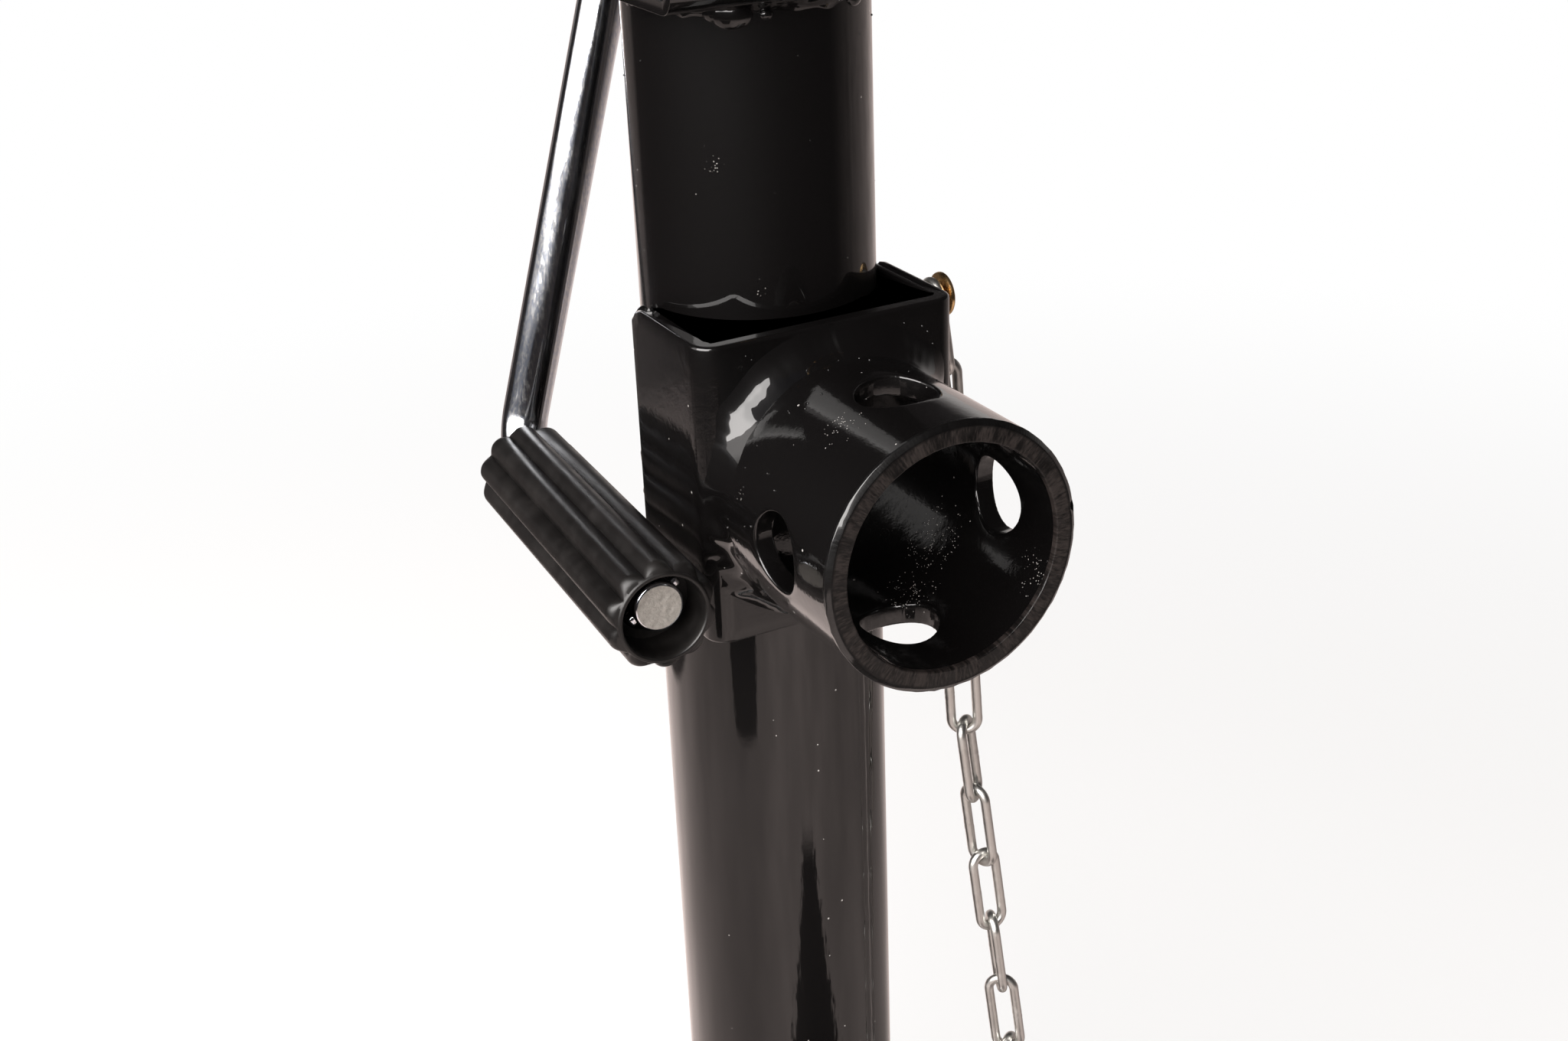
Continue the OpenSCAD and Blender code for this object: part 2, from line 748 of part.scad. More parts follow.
module crank_grip() {
    len = rod_reach + grip_over - grip_set;
    rib_r = grip_d * 0.135;
    recess = grip_over + 7;
    flare = rod_bend - grip_set;
    color("#222224")
        stowed() rotate([0, 0, -grip_toe])
            translate([0, -grip_set, -crank_len - grip_drop]) rotate([90, 0, 0])
                difference() {
                    linear_extrude(len) {
                        circle(grip_d / 2 - 1.5);
                        for (i = [0 : grip_ribs - 1])
                            rotate(360 * i / grip_ribs) translate([grip_d / 2 - rib_r, 0]) circle(rib_r);
                    }
                    translate([0, 0, -1]) cylinder(d = grip_bore, h = len + 2);
                    translate([0, 0, -eps]) cylinder(d1 = grip_bore + 5, d2 = grip_bore, h = flare);
                    translate([0, 0, len - recess]) cylinder(d = grip_bore + 3.6, h = recess + 1);
                }
}

// ---------------------------------------------------------------- chain and lock pin

module chain_rivet() {
    inner_x = bracket_in - 1.6;
    color("#c2a14a")
        translate([0, rivet_y, mount_h + rivet_up]) rotate([0, 90, 0]) {
            translate([0, 0, inner_x]) cylinder(d = rivet_d, h = rivet_seat_x - inner_x + 1);
            translate([0, 0, inner_x]) cylinder(d = rivet_d + 2.4, h = 1.6);
            translate([0, 0, bracket_x]) cylinder(d = rivet_d + 4, h = washer_t);
            translate([0, 0, rivet_seat_x])
                rotate_extrude() polygon([
                    [0, 0], [rivet_head_d / 2, 0], [rivet_head_d / 2, 1], [rivet_head_d / 2 - 1.6, rivet_head_t],
                    [0, rivet_head_t + 0.3]
                ]);
        }
}

// a link in the XZ plane, centred on the origin, long in Z
module link() {
    bend = (link_w - wire_d) / 2;
    straight = link_pitch + link_gap + wire_d - 2 * bend;
    for (s = [-1, 1]) {
        translate([s * bend, 0, -straight / 2]) cylinder(d = wire_d, h = straight);
        translate([0, 0, s * straight / 2]) rotate([s > 0 ? 90 : -90, 0, 0])
            rotate_extrude(angle = 180) translate([bend, 0]) circle(d = wire_d);
    }
}

// turns the XZ plane's Z axis on to the direction up, then rolls the link about it
module along(up, roll) {
    tilt = acos(up[2]);
    heading = atan2(up[1], up[0]);
    rotate([0, tilt, heading]) rotate([0, 0, roll - heading]) children();
}

module links(first, last) {
    color("#b8bcc0")
        for (k = [first : last])
            translate((chain_point(k - 1) + chain_point(k)) / 2)
                along(-link_dir(k), link_roll[k - 1]) link($fn = 32);
}

module chain_top() { links(1, 3); }
module chain_upper() { links(4, 6); }
module chain_middle() { links(7, 9); }
module chain_lower() { links(10, 12); }

module pin_ring() {
    color("#b8bcc0")
        translate(ring_mid) rotate([0, 0, ring_roll]) rotate([90, 0, 0])
            rotate_extrude() translate([ring_r, 0]) circle(d = ring_wire, $fn = 32);
}

module lock_pin() {
    eye_w = 13;
    neck = 9;
    color("#b8bcc0")
        translate(eye_mid) rotate([0, 0, ring_roll])
            difference() {
                union() {
                    rotate([0, 90, 0]) cylinder(d = eye_w, h = pin_eye_t, center = true);
                    translate([-pin_eye_t / 2, -eye_w / 2, -neck]) cube([pin_eye_t, eye_w, neck]);
                    translate([0, 0, -neck - 4]) cylinder(d = lock_pin_d + 6, h = 4);
                    translate([0, 0, -neck - 4 - lock_pin_len + 3]) cylinder(d = lock_pin_d, h = lock_pin_len - 3);
                    translate([0, 0, -neck - 4 - lock_pin_len])
                        cylinder(d1 = lock_pin_d - 5, d2 = lock_pin_d, h = 3);
                }
                rotate([0, 90, 0]) cylinder(r = pin_eye_r, h = far, center = true);
            }
}

outer_tube();
gear_housing();
housing_weld();
gear_cover();
cover_screws();
front_bushing();
rear_bushing();
crank_shaft();
shaft_rings();
drive_bevel();
drive_bevel_pin();
driven_bevel();
screw_key();
screw_ring();
lift_screw();
screw_bushing();
thrust_race_upper();
thrust_race_lower();
ball_cage();
thrust_balls();
lift_nut();
inner_tube();
foot_plate();
foot_weld();
swivel_bracket();
bracket_welds();
pipe_mount();
mount_weld();
crank_arm();
fold_pin();
crank_grip();
chain_rivet();
chain_top();
chain_upper();
chain_middle();
chain_lower();
pin_ring();
lock_pin();
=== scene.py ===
import json
import math

import bmesh
import bpy
import numpy as np
from mathutils import Matrix, Vector


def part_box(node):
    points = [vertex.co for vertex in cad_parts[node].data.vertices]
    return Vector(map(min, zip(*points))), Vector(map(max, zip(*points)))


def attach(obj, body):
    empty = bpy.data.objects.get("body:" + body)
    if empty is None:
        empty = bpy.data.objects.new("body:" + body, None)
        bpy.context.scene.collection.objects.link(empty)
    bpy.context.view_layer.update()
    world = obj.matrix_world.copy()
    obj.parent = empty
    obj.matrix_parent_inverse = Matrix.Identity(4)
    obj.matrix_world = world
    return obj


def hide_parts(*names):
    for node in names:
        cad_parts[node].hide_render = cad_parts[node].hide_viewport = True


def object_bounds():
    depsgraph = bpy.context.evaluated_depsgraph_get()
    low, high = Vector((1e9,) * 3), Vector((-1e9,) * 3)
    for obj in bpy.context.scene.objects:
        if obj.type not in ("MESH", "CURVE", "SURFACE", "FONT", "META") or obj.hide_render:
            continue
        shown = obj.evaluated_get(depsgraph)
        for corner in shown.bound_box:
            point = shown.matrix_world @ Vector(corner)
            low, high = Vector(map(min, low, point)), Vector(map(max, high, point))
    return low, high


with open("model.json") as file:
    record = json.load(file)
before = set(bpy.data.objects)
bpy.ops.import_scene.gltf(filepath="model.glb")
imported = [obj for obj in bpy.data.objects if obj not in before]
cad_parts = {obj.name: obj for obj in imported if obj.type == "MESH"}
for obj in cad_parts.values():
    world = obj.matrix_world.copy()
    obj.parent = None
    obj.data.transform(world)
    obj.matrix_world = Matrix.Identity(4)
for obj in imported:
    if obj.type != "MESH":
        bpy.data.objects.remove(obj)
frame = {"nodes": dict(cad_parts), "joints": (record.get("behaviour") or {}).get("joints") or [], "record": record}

MM = 0.001
bpy.context.scene.view_settings.view_transform = "Standard"
cad_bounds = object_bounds()
mounts = {m["name"]: m for m in frame["record"]["mounts"]}
joints = {j["name"]: j for j in frame["joints"]}


def corners(node):
    """Lowest and highest corner of a CAD node, in millimetres."""
    low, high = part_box(node)
    return np.array(low) / MM, np.array(high) / MM


def joint_line(name):
    """A joint's point in millimetres and its axis as a unit vector."""
    axis = np.array(joints[name]["axis"], float)
    return np.array(joints[name]["pos_m"], float) / MM, axis / np.linalg.norm(axis)


# ------------------------------------------------------------------ camera, floor and lights

AXIS_Z = mounts["swivel_bore"]["pos_m"][2] / MM   # height of the pipe mount's axis
YAW, PITCH, ROLL = 0.473916, 0.434523, -0.0402451
EYE = np.array([-207.784, -413.875, 189.427 + AXIS_Z])
LENS = 46.134


def add_camera():
    """Looks along yaw and pitch from the eye point; the picture is rolled about the line of sight."""
    forward = np.array([
        math.sin(YAW) * math.cos(PITCH),
        math.cos(YAW) * math.cos(PITCH),
        -math.sin(PITCH),
    ])
    right = np.array([math.cos(YAW), -math.sin(YAW), 0.0])
    up = np.cross(right, forward)
    across = math.cos(ROLL) * right + math.sin(ROLL) * up
    upright = -math.sin(ROLL) * right + math.cos(ROLL) * up
    camera = bpy.data.objects.new("camera", bpy.data.cameras.new("camera"))
    camera.data.sensor_width = 36.0
    camera.data.lens = LENS
    camera.data.clip_start = 0.01
    turn = Matrix([list(v) for v in np.stack([across, upright, -forward], axis=1)]).to_4x4()
    camera.matrix_world = Matrix.Translation(Vector(EYE * MM)) @ turn
    bpy.context.scene.collection.objects.link(camera)
    bpy.context.scene.camera = camera


class Finish:
    """A node material: each method adds nodes and returns the socket they end in."""

    def __init__(self, name, tree=None, **sockets):
        if tree is None:
            self.material = bpy.data.materials.new(name)
            self.material.use_nodes = True
            tree = self.material.node_tree
        self.tree = tree
        self.shader = tree.nodes.get("Principled BSDF")
        for socket, value in sockets.items():
            self.shader.inputs[socket.replace("_", " ")].default_value = value
        self._place = None

    def add(self, kind, inputs=(), **settings):
        """A node with its settings, and its inputs given by number or name as values or sockets."""
        node = self.tree.nodes.new(kind)
        for key, value in settings.items():
            setattr(node, key, value)
        for key, value in dict(inputs).items():
            self.put(node.inputs[key], value)
        return node

    def put(self, socket, value):
        if isinstance(value, bpy.types.NodeSocket):
            self.tree.links.new(value, socket)
        else:
            socket.default_value = value

    def place(self, stretch=(1, 1, 1), turn=(0, 0, 0)):
        """Object coordinates, turned and then stretched."""
        if self._place is None:
            self._place = self.add("ShaderNodeTexCoord").outputs["Object"]
        if stretch == (1, 1, 1) and turn == (0, 0, 0):
            return self._place
        return self.add("ShaderNodeMapping", {0: self._place, 2: turn, 3: stretch}).outputs[0]

    def noise(self, size, detail=2.0, rough=0.5, stretch=(1, 1, 1), bend=0.0, turn=(0, 0, 0)):
        """Noise whose lumps are about size millimetres across, from 0 to 1."""
        return self.add("ShaderNodeTexNoise", {
            "Vector": self.place(stretch, turn), "Scale": 1000.0 / size, "Detail": detail,
            "Roughness": rough, "Distortion": bend,
        }).outputs[0]

    def cells(self, size, output="Distance", **settings):
        """Voronoi cells about size millimetres apart."""
        return self.add("ShaderNodeTexVoronoi", {"Vector": self.place(), "Scale": 1000.0 / size},
                        **settings).outputs[output]

    def ramp(self, value, low, high, out_low=0.0, out_high=1.0, soft=True):
        """Maps value from low..high to out_low..out_high, held at both ends."""
        return self.add("ShaderNodeMapRange", {0: value, 1: low, 2: high, 3: out_low, 4: out_high},
                        interpolation_type="SMOOTHSTEP" if soft else "LINEAR").outputs[0]

    def math(self, operation, a, b=0.0):
        return self.add("ShaderNodeMath", {0: a, 1: b}, operation=operation).outputs[0]

    def mix(self, share, a, b):
        """Colour a where share is 0 and colour b where it is 1."""
        return self.add("ShaderNodeMix", {0: share, 6: a, 7: b}, data_type="RGBA").outputs[2]

    def bump(self, height, depth, normal=None, strength=1.0):
        """Bump whose height of 0 to 1 stands for depth millimetres."""
        inputs = {"Height": height, "Distance": depth * MM, "Strength": strength}
        if normal is not None:
            inputs["Normal"] = normal
        return self.add("ShaderNodeBump", inputs).outputs[0]

    def glow(self, level, colour, rest):
        """colour times level, plus rest."""
        lit = self.add("ShaderNodeVectorMath", {0: colour, "Scale": level}, operation="SCALE").outputs[0]
        return self.add("ShaderNodeVectorMath", {0: lit, 1: rest}).outputs[0]

    def near(self, point, size):
        """1 at a point given in millimetres, falling to 0 at size millimetres from it."""
        away = self.add("ShaderNodeVectorMath", {0: self.place(), 1: [c * MM for c in point]},
                        operation="DISTANCE").outputs["Value"]
        return self.ramp(away, 0.0, size * MM, 1.0, 0.0)

    def set(self, **sockets):
        for socket, value in sockets.items():
            self.put(self.shader.inputs[socket.replace("_", " ")], value)
        return self.material


def grey(level, warm=0.0):
    """A colour of that level, a little warmer or cooler."""
    return (level * (1 + warm), level, level * (1 - warm), 1.0)


def rear_share(f, heading):
    """How much of the white wall behind the object stands at a heading in radians from +Y."""
    low = f.ramp(heading, -0.50, -0.36, 0.0, 0.16)
    high = f.ramp(heading, -0.02, 0.10, 0.0, 0.84)
    return f.math("MULTIPLY", f.math("ADD", low, high), f.ramp(heading, 1.40, 2.25, 1.0, 0.0))


def light_floor():
    """A pale floor. Seen directly it keeps the object's shadow and turns white further out. In gloss it is
    white around the object and far behind it, and dark further out at the front, as in a small
    studio, with three dark patches that only gloss shows."""
    size = 30.0
    mesh = bpy.data.meshes.new("floor")
    mesh.from_pydata([(-size, -size, 0), (size, -size, 0), (size, size, 0), (-size, size, 0)], [],
                     [(0, 1, 2, 3)])
    floor = bpy.data.objects.new("floor", mesh)
    floor.location.z = cad_bounds[0][2] - 0.0002
    bpy.context.scene.collection.objects.link(floor)
    f = Finish("floor", Base_Color=(0.85, 0.84, 0.82, 1), Roughness=0.9)
    f.shader.inputs["Specular IOR Level"].default_value = 0.0
    where = f.add("ShaderNodeSeparateXYZ", {0: f.place()})
    x, y = where.outputs[0], where.outputs[1]
    reach = f.add("ShaderNodeVectorMath", {0: f.place((1, 1, 0))}, operation="LENGTH").outputs["Value"]
    ragged = f.noise(60.0, 4.0, 0.6)
    near = f.ramp(f.math("ADD", reach, f.math("MULTIPLY", ragged, 0.25)), 0.72, 1.15, 1.0, 0.0)
    heading = f.math("ARCTAN2", x, y)
    behind = rear_share(f, heading)
    pale = f.math("MAXIMUM", near, behind)
    for angle, inner, outer, narrow, wide in DARK_PATCHES:
        part = f.add("ShaderNodeSeparateXYZ", {0: f.place(turn=(0, 0, math.radians(-angle)))})
        along, side = part.outputs[0], part.outputs[1]
        half = f.ramp(along, inner, outer, narrow, wide, soft=False)
        torn = f.math("MULTIPLY", f.math("SUBTRACT", f.noise(16.0, 4.0, 0.75), 0.5), 0.11)
        off = f.math("SUBTRACT", f.math("ADD", f.math("ABSOLUTE", side), torn), half)
        beside = f.ramp(off, -0.008, 0.008)
        before = f.ramp(along, inner - 0.01, inner + 0.01, 1.0, 0.0)
        after = f.ramp(along, outer - 0.02, outer + 0.02)
        pale = f.math("MULTIPLY", pale, f.math("MAXIMUM", beside, f.math("MAXIMUM", before, after)))
    to_right = f.math("DIVIDE", x, f.math("ADD", reach, 0.001))
    white_level = f.math("MULTIPLY", f.ramp(to_right, -0.95, -0.4, 0.76, 1.18),
                         f.ramp(to_right, -0.1, 0.8, 1.0, 0.56))
    white_level = f.math("MULTIPLY", white_level, f.ramp(to_right, 0.8, 1.0, 1.0, 0.50))
    cloudy = f.ramp(f.noise(170.0, 3.0, 0.6), 0.3, 0.7, 0.82, 1.10)
    level = f.math("MULTIPLY", pale, f.math("MULTIPLY", white_level, cloudy))
    shown = f.glow(level, (1.0, 0.84, 0.785), (0.030, 0.026, 0.026))
    path = f.add("ShaderNodeLightPath")
    in_gloss = f.add("ShaderNodeEmission", {0: shown, 1: 1.0}).outputs[0]
    white = f.add("ShaderNodeEmission", {0: (1, 1, 1, 1), 1: 1.0}).outputs[0]
    shaded = f.add("ShaderNodeBsdfDiffuse", {0: (0.80, 0.79, 0.785, 1)}).outputs[0]
    seen = f.add("ShaderNodeMixShader",
                 {0: f.ramp(reach, SHADOW_FADES, SHADOW_ENDS, 0.5, 1.0), 1: shaded, 2: white}).outputs[0]
    direct = f.add("ShaderNodeMixShader",
                   {0: path.outputs["Is Camera Ray"], 1: f.shader.outputs[0], 2: seen}).outputs[0]
    glossy = f.math("MAXIMUM", path.outputs["Is Glossy Ray"], path.outputs["Is Transmission Ray"])
    last = f.add("ShaderNodeMixShader", {0: glossy, 1: direct, 2: in_gloss}).outputs[0]
    f.put(f.tree.nodes["Material Output"].inputs[0], last)
    mesh.materials.append(f.material)


# distances in metres from the object where the floor's shadow starts to fade and where it is gone
SHADOW_FADES, SHADOW_ENDS = 0.4, 1.2
# direction in degrees from +X, then start, end and half widths there in metres of each dark patch
DARK_PATCHES = [(212.0, 0.46, 0.82, 0.09, 0.26), (270.0, 0.10, 0.37, 0.14, 0.035),
                (120.0, 0.50, 0.80, 0.22, 0.34)]


def light_world():
    """White to the camera; in gloss a dim warm room with a white wall low behind the object and a
    bright panel on the left; an even soft grey for everything else."""
    world = bpy.data.worlds.new("studio")
    bpy.context.scene.world = world
    world.use_nodes = True
    f = Finish("studio", tree=world.node_tree)
    back = world.node_tree.nodes["Background"]
    out = world.node_tree.nodes["World Output"]
    path = f.add("ShaderNodeLightPath")
    part = f.add("ShaderNodeSeparateXYZ", {0: f.add("ShaderNodeTexCoord").outputs["Generated"]})
    low = f.ramp(part.outputs[2], 0.05, 0.30, 1.0, 0.0)
    heading = f.math("ARCTAN2", part.outputs[0], part.outputs[1])
    rear = rear_share(f, heading)
    wall = f.math("MULTIPLY", f.math("MULTIPLY", low, rear), f.ramp(heading, 0.0, 1.2, 1.0, 0.50))
    up = part.outputs[2]
    left = f.math("MULTIPLY", f.ramp(heading, -2.75, -2.40), f.ramp(heading, -1.15, -0.85, 1.0, 0.0))
    panel = f.math("MULTIPLY", f.ramp(up, 0.100, 0.130, 0.0, 2.2), f.ramp(up, 0.60, 0.72, 1.0, 0.0))
    haze = f.math("MULTIPLY",
                  f.math("ADD", f.ramp(up, -0.02, 0.02, 0.05, 0.15), f.ramp(up, 0.038, 0.055, 0.0, 0.28)),
                  f.ramp(up, 0.5, 0.7, 1.0, 0.0))
    level = f.math("ADD", f.math("MULTIPLY", left, f.math("ADD", panel, haze)), wall)
    gloss = f.glow(level, (1.0, 0.95, 0.92), f.mix(left, (0.026, 0.023, 0.023, 1), (0.020, 0.026, 0.042, 1)))
    glossy = f.math("MAXIMUM", path.outputs["Is Glossy Ray"], path.outputs["Is Transmission Ray"])
    even = f.mix(glossy, grey(0.42, 0.01), gloss)
    colour = f.mix(path.outputs["Is Camera Ray"], even, grey(1.0))
    f.put(back.inputs[0], colour)
    back.inputs[1].default_value = 1.0
    f.put(out.inputs[0], back.outputs[0])


def softbox(name, heading, height, distance, wide, tall, radiance):
    """An area light at a heading from +Y towards +X and a height angle, facing the mount's axis."""
    goal = np.array([0, 0, AXIS_Z]) * MM
    a, e = math.radians(heading), math.radians(height)
    way = np.array([math.sin(a) * math.cos(e), math.cos(a) * math.cos(e), math.sin(e)])
    lamp = bpy.data.lights.new(name, "AREA")
    lamp.shape, lamp.size, lamp.size_y = "RECTANGLE", wide, tall
    lamp.energy = radiance * math.pi * wide * tall
    lamp.color = (1.0, 0.97, 0.95)
    box = bpy.data.objects.new(name, lamp)
    box.location = Vector(goal + way * distance)
    box.rotation_euler = Vector(-way).to_track_quat("-Z", "Y").to_euler()
    bpy.context.scene.collection.objects.link(box)
    box.visible_camera = False
    return box


add_camera()
light_floor()
light_world()
softbox("key_light", -118, 31, 1.5, 1.70, 1.20, 9.5)
softbox("top_light", -2, 44, 1.4, 0.58, 0.70, 2.6).visible_glossy = False
softbox("right_light", 100, 40, 1.8, 0.5, 0.9, 1.6).visible_glossy = False

# ------------------------------------------------------------------ finishes


def gloss_black(name, lumps=0.0, torn=0.0, dusty=()):
    """Sprayed gloss black: a clear hard skin over a softer shine, orange peel, long waves, faint
    smears, and dust grains under the paint, thicker round the dusty points. lumps adds shallow
    dents, as over weld metal, and torn a fine crust that breaks the edges of reflections."""
    f = Finish(name, Roughness=0.42, IOR=1.45, Coat_Weight=1.0, Coat_IOR=1.5)
    f.shader.inputs["Specular IOR Level"].default_value = 0.10
    pick = f.add("ShaderNodeSeparateColor", {0: f.cells(5.5, "Color")})
    large = f.ramp(pick.outputs[1], 0.0, 1.0, 0.014, 0.060, soft=False)
    dust = f.math("MULTIPLY", f.math("LESS_THAN", f.cells(5.5), large),
                  f.math("GREATER_THAN", pick.outputs[0], 0.40))
    for point, size in dusty:
        fine = f.add("ShaderNodeSeparateColor", {0: f.cells(0.5, "Color")})
        chance = f.math("MULTIPLY", f.near(point, size), f.ramp(f.noise(2.2, 3.0, 0.7), 0.45, 0.60))
        grain = f.math("MULTIPLY", f.math("LESS_THAN", f.cells(0.5), 0.27),
                       f.math("LESS_THAN", fine.outputs[0], chance))
        dust = f.math("MAXIMUM", dust, grain)
    smear = f.noise(38.0, 3.0, 0.6, (1, 1, 0.35))
    colour = f.mix(dust, (0.0021, 0.0018, 0.0018, 1), grey(0.34, 0.05))
    peel = f.bump(f.noise(1.9, 2.0, 0.5), 0.0036, f.bump(f.noise(16.0, 1.0, 0.4), 0.030))
    if lumps:
        peel = f.bump(f.noise(5.5, 1.5, 0.5, bend=0.3), lumps, peel)
    if torn:
        peel = f.bump(f.noise(3.4, 4.0, 0.68), torn, peel)
    last = f.bump(dust, 0.05, peel)
    return f.set(Base_Color=colour, Coat_Roughness=f.ramp(smear, 0.45, 0.80, 0.025, 0.10), Normal=last,
                 Coat_Normal=last)


def sheared_rim(name):
    """A saw cut across the pipe mount under thin paint: brown black, with fine lines that run
    outwards. The lines are noise along the distance round the mount's axis."""
    f = Finish(name, IOR=1.45)
    part = f.add("ShaderNodeSeparateXYZ", {0: f.place()})
    high = f.math("SUBTRACT", part.outputs[2], AXIS_Z * MM)
    turn = f.math("MULTIPLY", f.math("ARCTAN2", part.outputs[0], high), 29 * MM)
    far = f.add("ShaderNodeVectorMath",
                {0: f.add("ShaderNodeCombineXYZ", {0: part.outputs[0], 1: high}).outputs[0]},
                operation="LENGTH").outputs["Value"]
    out = f.math("MULTIPLY", far, 0.22)
    laid = f.add("ShaderNodeCombineXYZ", {0: turn, 1: out}).outputs[0]
    lines = f.add("ShaderNodeTexNoise",
                  {"Vector": laid, "Scale": 1900.0, "Detail": 3.0, "Roughness": 0.65}).outputs[0]
    broad = f.add("ShaderNodeTexNoise",
                  {"Vector": laid, "Scale": 260.0, "Detail": 3.0, "Roughness": 0.6}).outputs[0]
    tone = f.mix(f.ramp(f.math("MULTIPLY", f.math("ADD", lines, broad), 0.5), 0.42, 0.62),
                 (0.003, 0.0026, 0.0025, 1), (0.022, 0.0172, 0.0158, 1))
    tone = f.mix(f.ramp(far, 29.4 * MM, 30.3 * MM), tone, (0.002, 0.0018, 0.0018, 1))
    f.shader.inputs["Specular IOR Level"].default_value = 0.2
    return f.set(Base_Color=tone,
                 Coat_Weight=f.math("MAXIMUM", f.ramp(broad, 0.40, 0.60, 0.25, 0.0),
                                    f.ramp(far, 30.2 * MM, 30.5 * MM)),
                                    Roughness=f.ramp(broad, 0.3, 0.7, 0.30, 0.5),
                                    Normal=f.bump(lines, 0.10, f.bump(broad, 0.12)))


def plated_steel(name, colour, rough, mottle, size, grain=(1, 1, 1), dull=0.25, depth=0.004, cool=None):
    """Zinc on steel: metal whose shine changes in patches, with fine drawn lines along grain, and
    specks of a second colour."""
    f = Finish(name, Metallic=1.0)
    patches = f.noise(size, 4.0, 0.62, grain, 0.4)
    fine = f.noise(0.55, 3.0, 0.65, grain)
    dark = tuple(c * (1 - mottle) for c in colour)
    tint = f.mix(f.ramp(patches, 0.42, 0.66), dark + (1,), tuple(colour) + (1,))
    if cool:
        tint = f.mix(f.ramp(fine, 0.40, 0.58), tuple(cool) + (1,), tint)
    shine = f.math("ADD", f.ramp(patches, 0.40, 0.70, rough, rough + dull),
                   f.ramp(fine, 0.45, 0.70, 0.0, 0.05))
    return f.set(Base_Color=tint, Roughness=shine, Normal=f.bump(fine, depth, f.bump(patches, depth * 2)))


def sawn_steel(name):
    """A sheared end face: pale torn grain with a matt zinc bloom."""
    f = Finish(name, Metallic=0.75)
    grain = f.noise(1.1, 4.0, 0.7)
    return f.set(Base_Color=f.mix(f.ramp(grain, 0.3, 0.7), (0.36, 0.34, 0.31, 1), (0.50, 0.475, 0.44, 1)),
                 Roughness=f.ramp(grain, 0.3, 0.7, 0.62, 0.45), Normal=f.bump(grain, 0.22))


def grip_plastic(name):
    """Dark warm moulded plastic with a soft shine, fine grain and slight rubbed patches."""
    f = Finish(name)
    fine = f.noise(0.7, 3.0, 0.6)
    wear = f.noise(11.0, 3.0, 0.6)
    tone = f.mix(f.ramp(wear, 0.4, 0.75), (0.0036, 0.0030, 0.0028, 1), (0.0080, 0.0067, 0.0062, 1))
    return f.set(Base_Color=tone, Roughness=f.ramp(wear, 0.3, 0.7, 0.34, 0.46),
                 Normal=f.bump(fine, 0.010, f.bump(wear, 0.05)))


PAINT = gloss_black("gloss_black",
                    dusty=(((-20.2, -20.2, AXIS_Z + 74.1), 3.0), ((-12.4, -25.8, AXIS_Z + 45.6), 3.0)))
CRUST = gloss_black("gloss_black_on_mount", torn=0.045,
                    dusty=(((19.9, -47.5, AXIS_Z - 16.7), 12.0), ((9.4, -54.1, AXIS_Z - 24.2), 10.0),
                           ((-30.6, -48.2, AXIS_Z + 7.3), 3.0), ((-16.0, -68.6, AXIS_Z + 27.2), 7.0),
                           ((23.7, -83.2, AXIS_Z - 10.8), 8.0)))
RIM = sheared_rim("sheared_rim")
WELD = gloss_black("gloss_black_on_weld", 0.045)
ROD = plated_steel("bright_zinc_rod", (0.86, 0.87, 0.88), 0.055, 0.08, 6.0, (1, 1, 0.3), 0.09, 0.0030,
                   (0.66, 0.70, 0.78))
SAWN = sawn_steel("sheared_rod_end")
CHAIN = plated_steel("chain_zinc", (0.70, 0.69, 0.66), 0.34, 0.10, 3.5, (1, 1, 1), 0.10, 0.001)
PLATE = plated_steel("zinc_sheet", (0.80, 0.80, 0.77), 0.42, 0.10, 9.0, (1, 1, 1), 0.12)
LEG = plated_steel("zinc_tube", (0.66, 0.67, 0.68), 0.24, 0.16, 8.0, (1, 1, 0.3))
YELLOW = plated_steel("yellow_zinc", (0.76, 0.50, 0.24), 0.24, 0.12, 3.4, (1, 1, 1), 0.12)
STEEL = plated_steel("machined_steel", (0.52, 0.52, 0.53), 0.28, 0.12, 4.0)
BRONZE = plated_steel("bearing_bronze", (0.62, 0.44, 0.22), 0.34, 0.18, 3.0)
DARK = plated_steel("black_oxide", (0.075, 0.075, 0.08), 0.30, 0.20, 3.0)
GRIP = grip_plastic("grip_plastic")
FINISHES = {
    "black_paint": PAINT, "weld_black": WELD, "zinc_plate": PLATE, "zinc_crank": ROD,
    "steel": STEEL, "leg_steel": LEG, "yellow_zinc": YELLOW, "bronze": BRONZE,
    "chain_zinc": CHAIN, "grip_rubber": GRIP, "dark_steel": DARK,
}
slot_of = {s["node"]: s["material_slot"] for s in frame["record"]["subparts"]}
for node_name, node_object in frame["nodes"].items():
    node_object.data.materials.clear()
    node_object.data.materials.append(FINISHES[slot_of[node_name]])

# ------------------------------------------------------------------ surfaces


def unit(v):
    v = np.asarray(v, float)
    return v / np.linalg.norm(v, axis=-1, keepdims=True)


def waves(seed, *coords, low=0.5, high=1.5, count=14):
    """Smooth lumps: a sum of sine waves in seeded directions, with low to high cycles for each
    unit of the coordinates, scaled to about -1 to 1."""
    rng = np.random.default_rng(seed)
    total = 0.0
    for _ in range(count):
        k = unit(rng.normal(size=len(coords))) * rng.uniform(low, high)
        total = total + np.sin(2 * np.pi * sum(a * c for a, c in zip(k, coords)) + rng.uniform(0, 2 * np.pi))
    return total / (1.3 * math.sqrt(count))


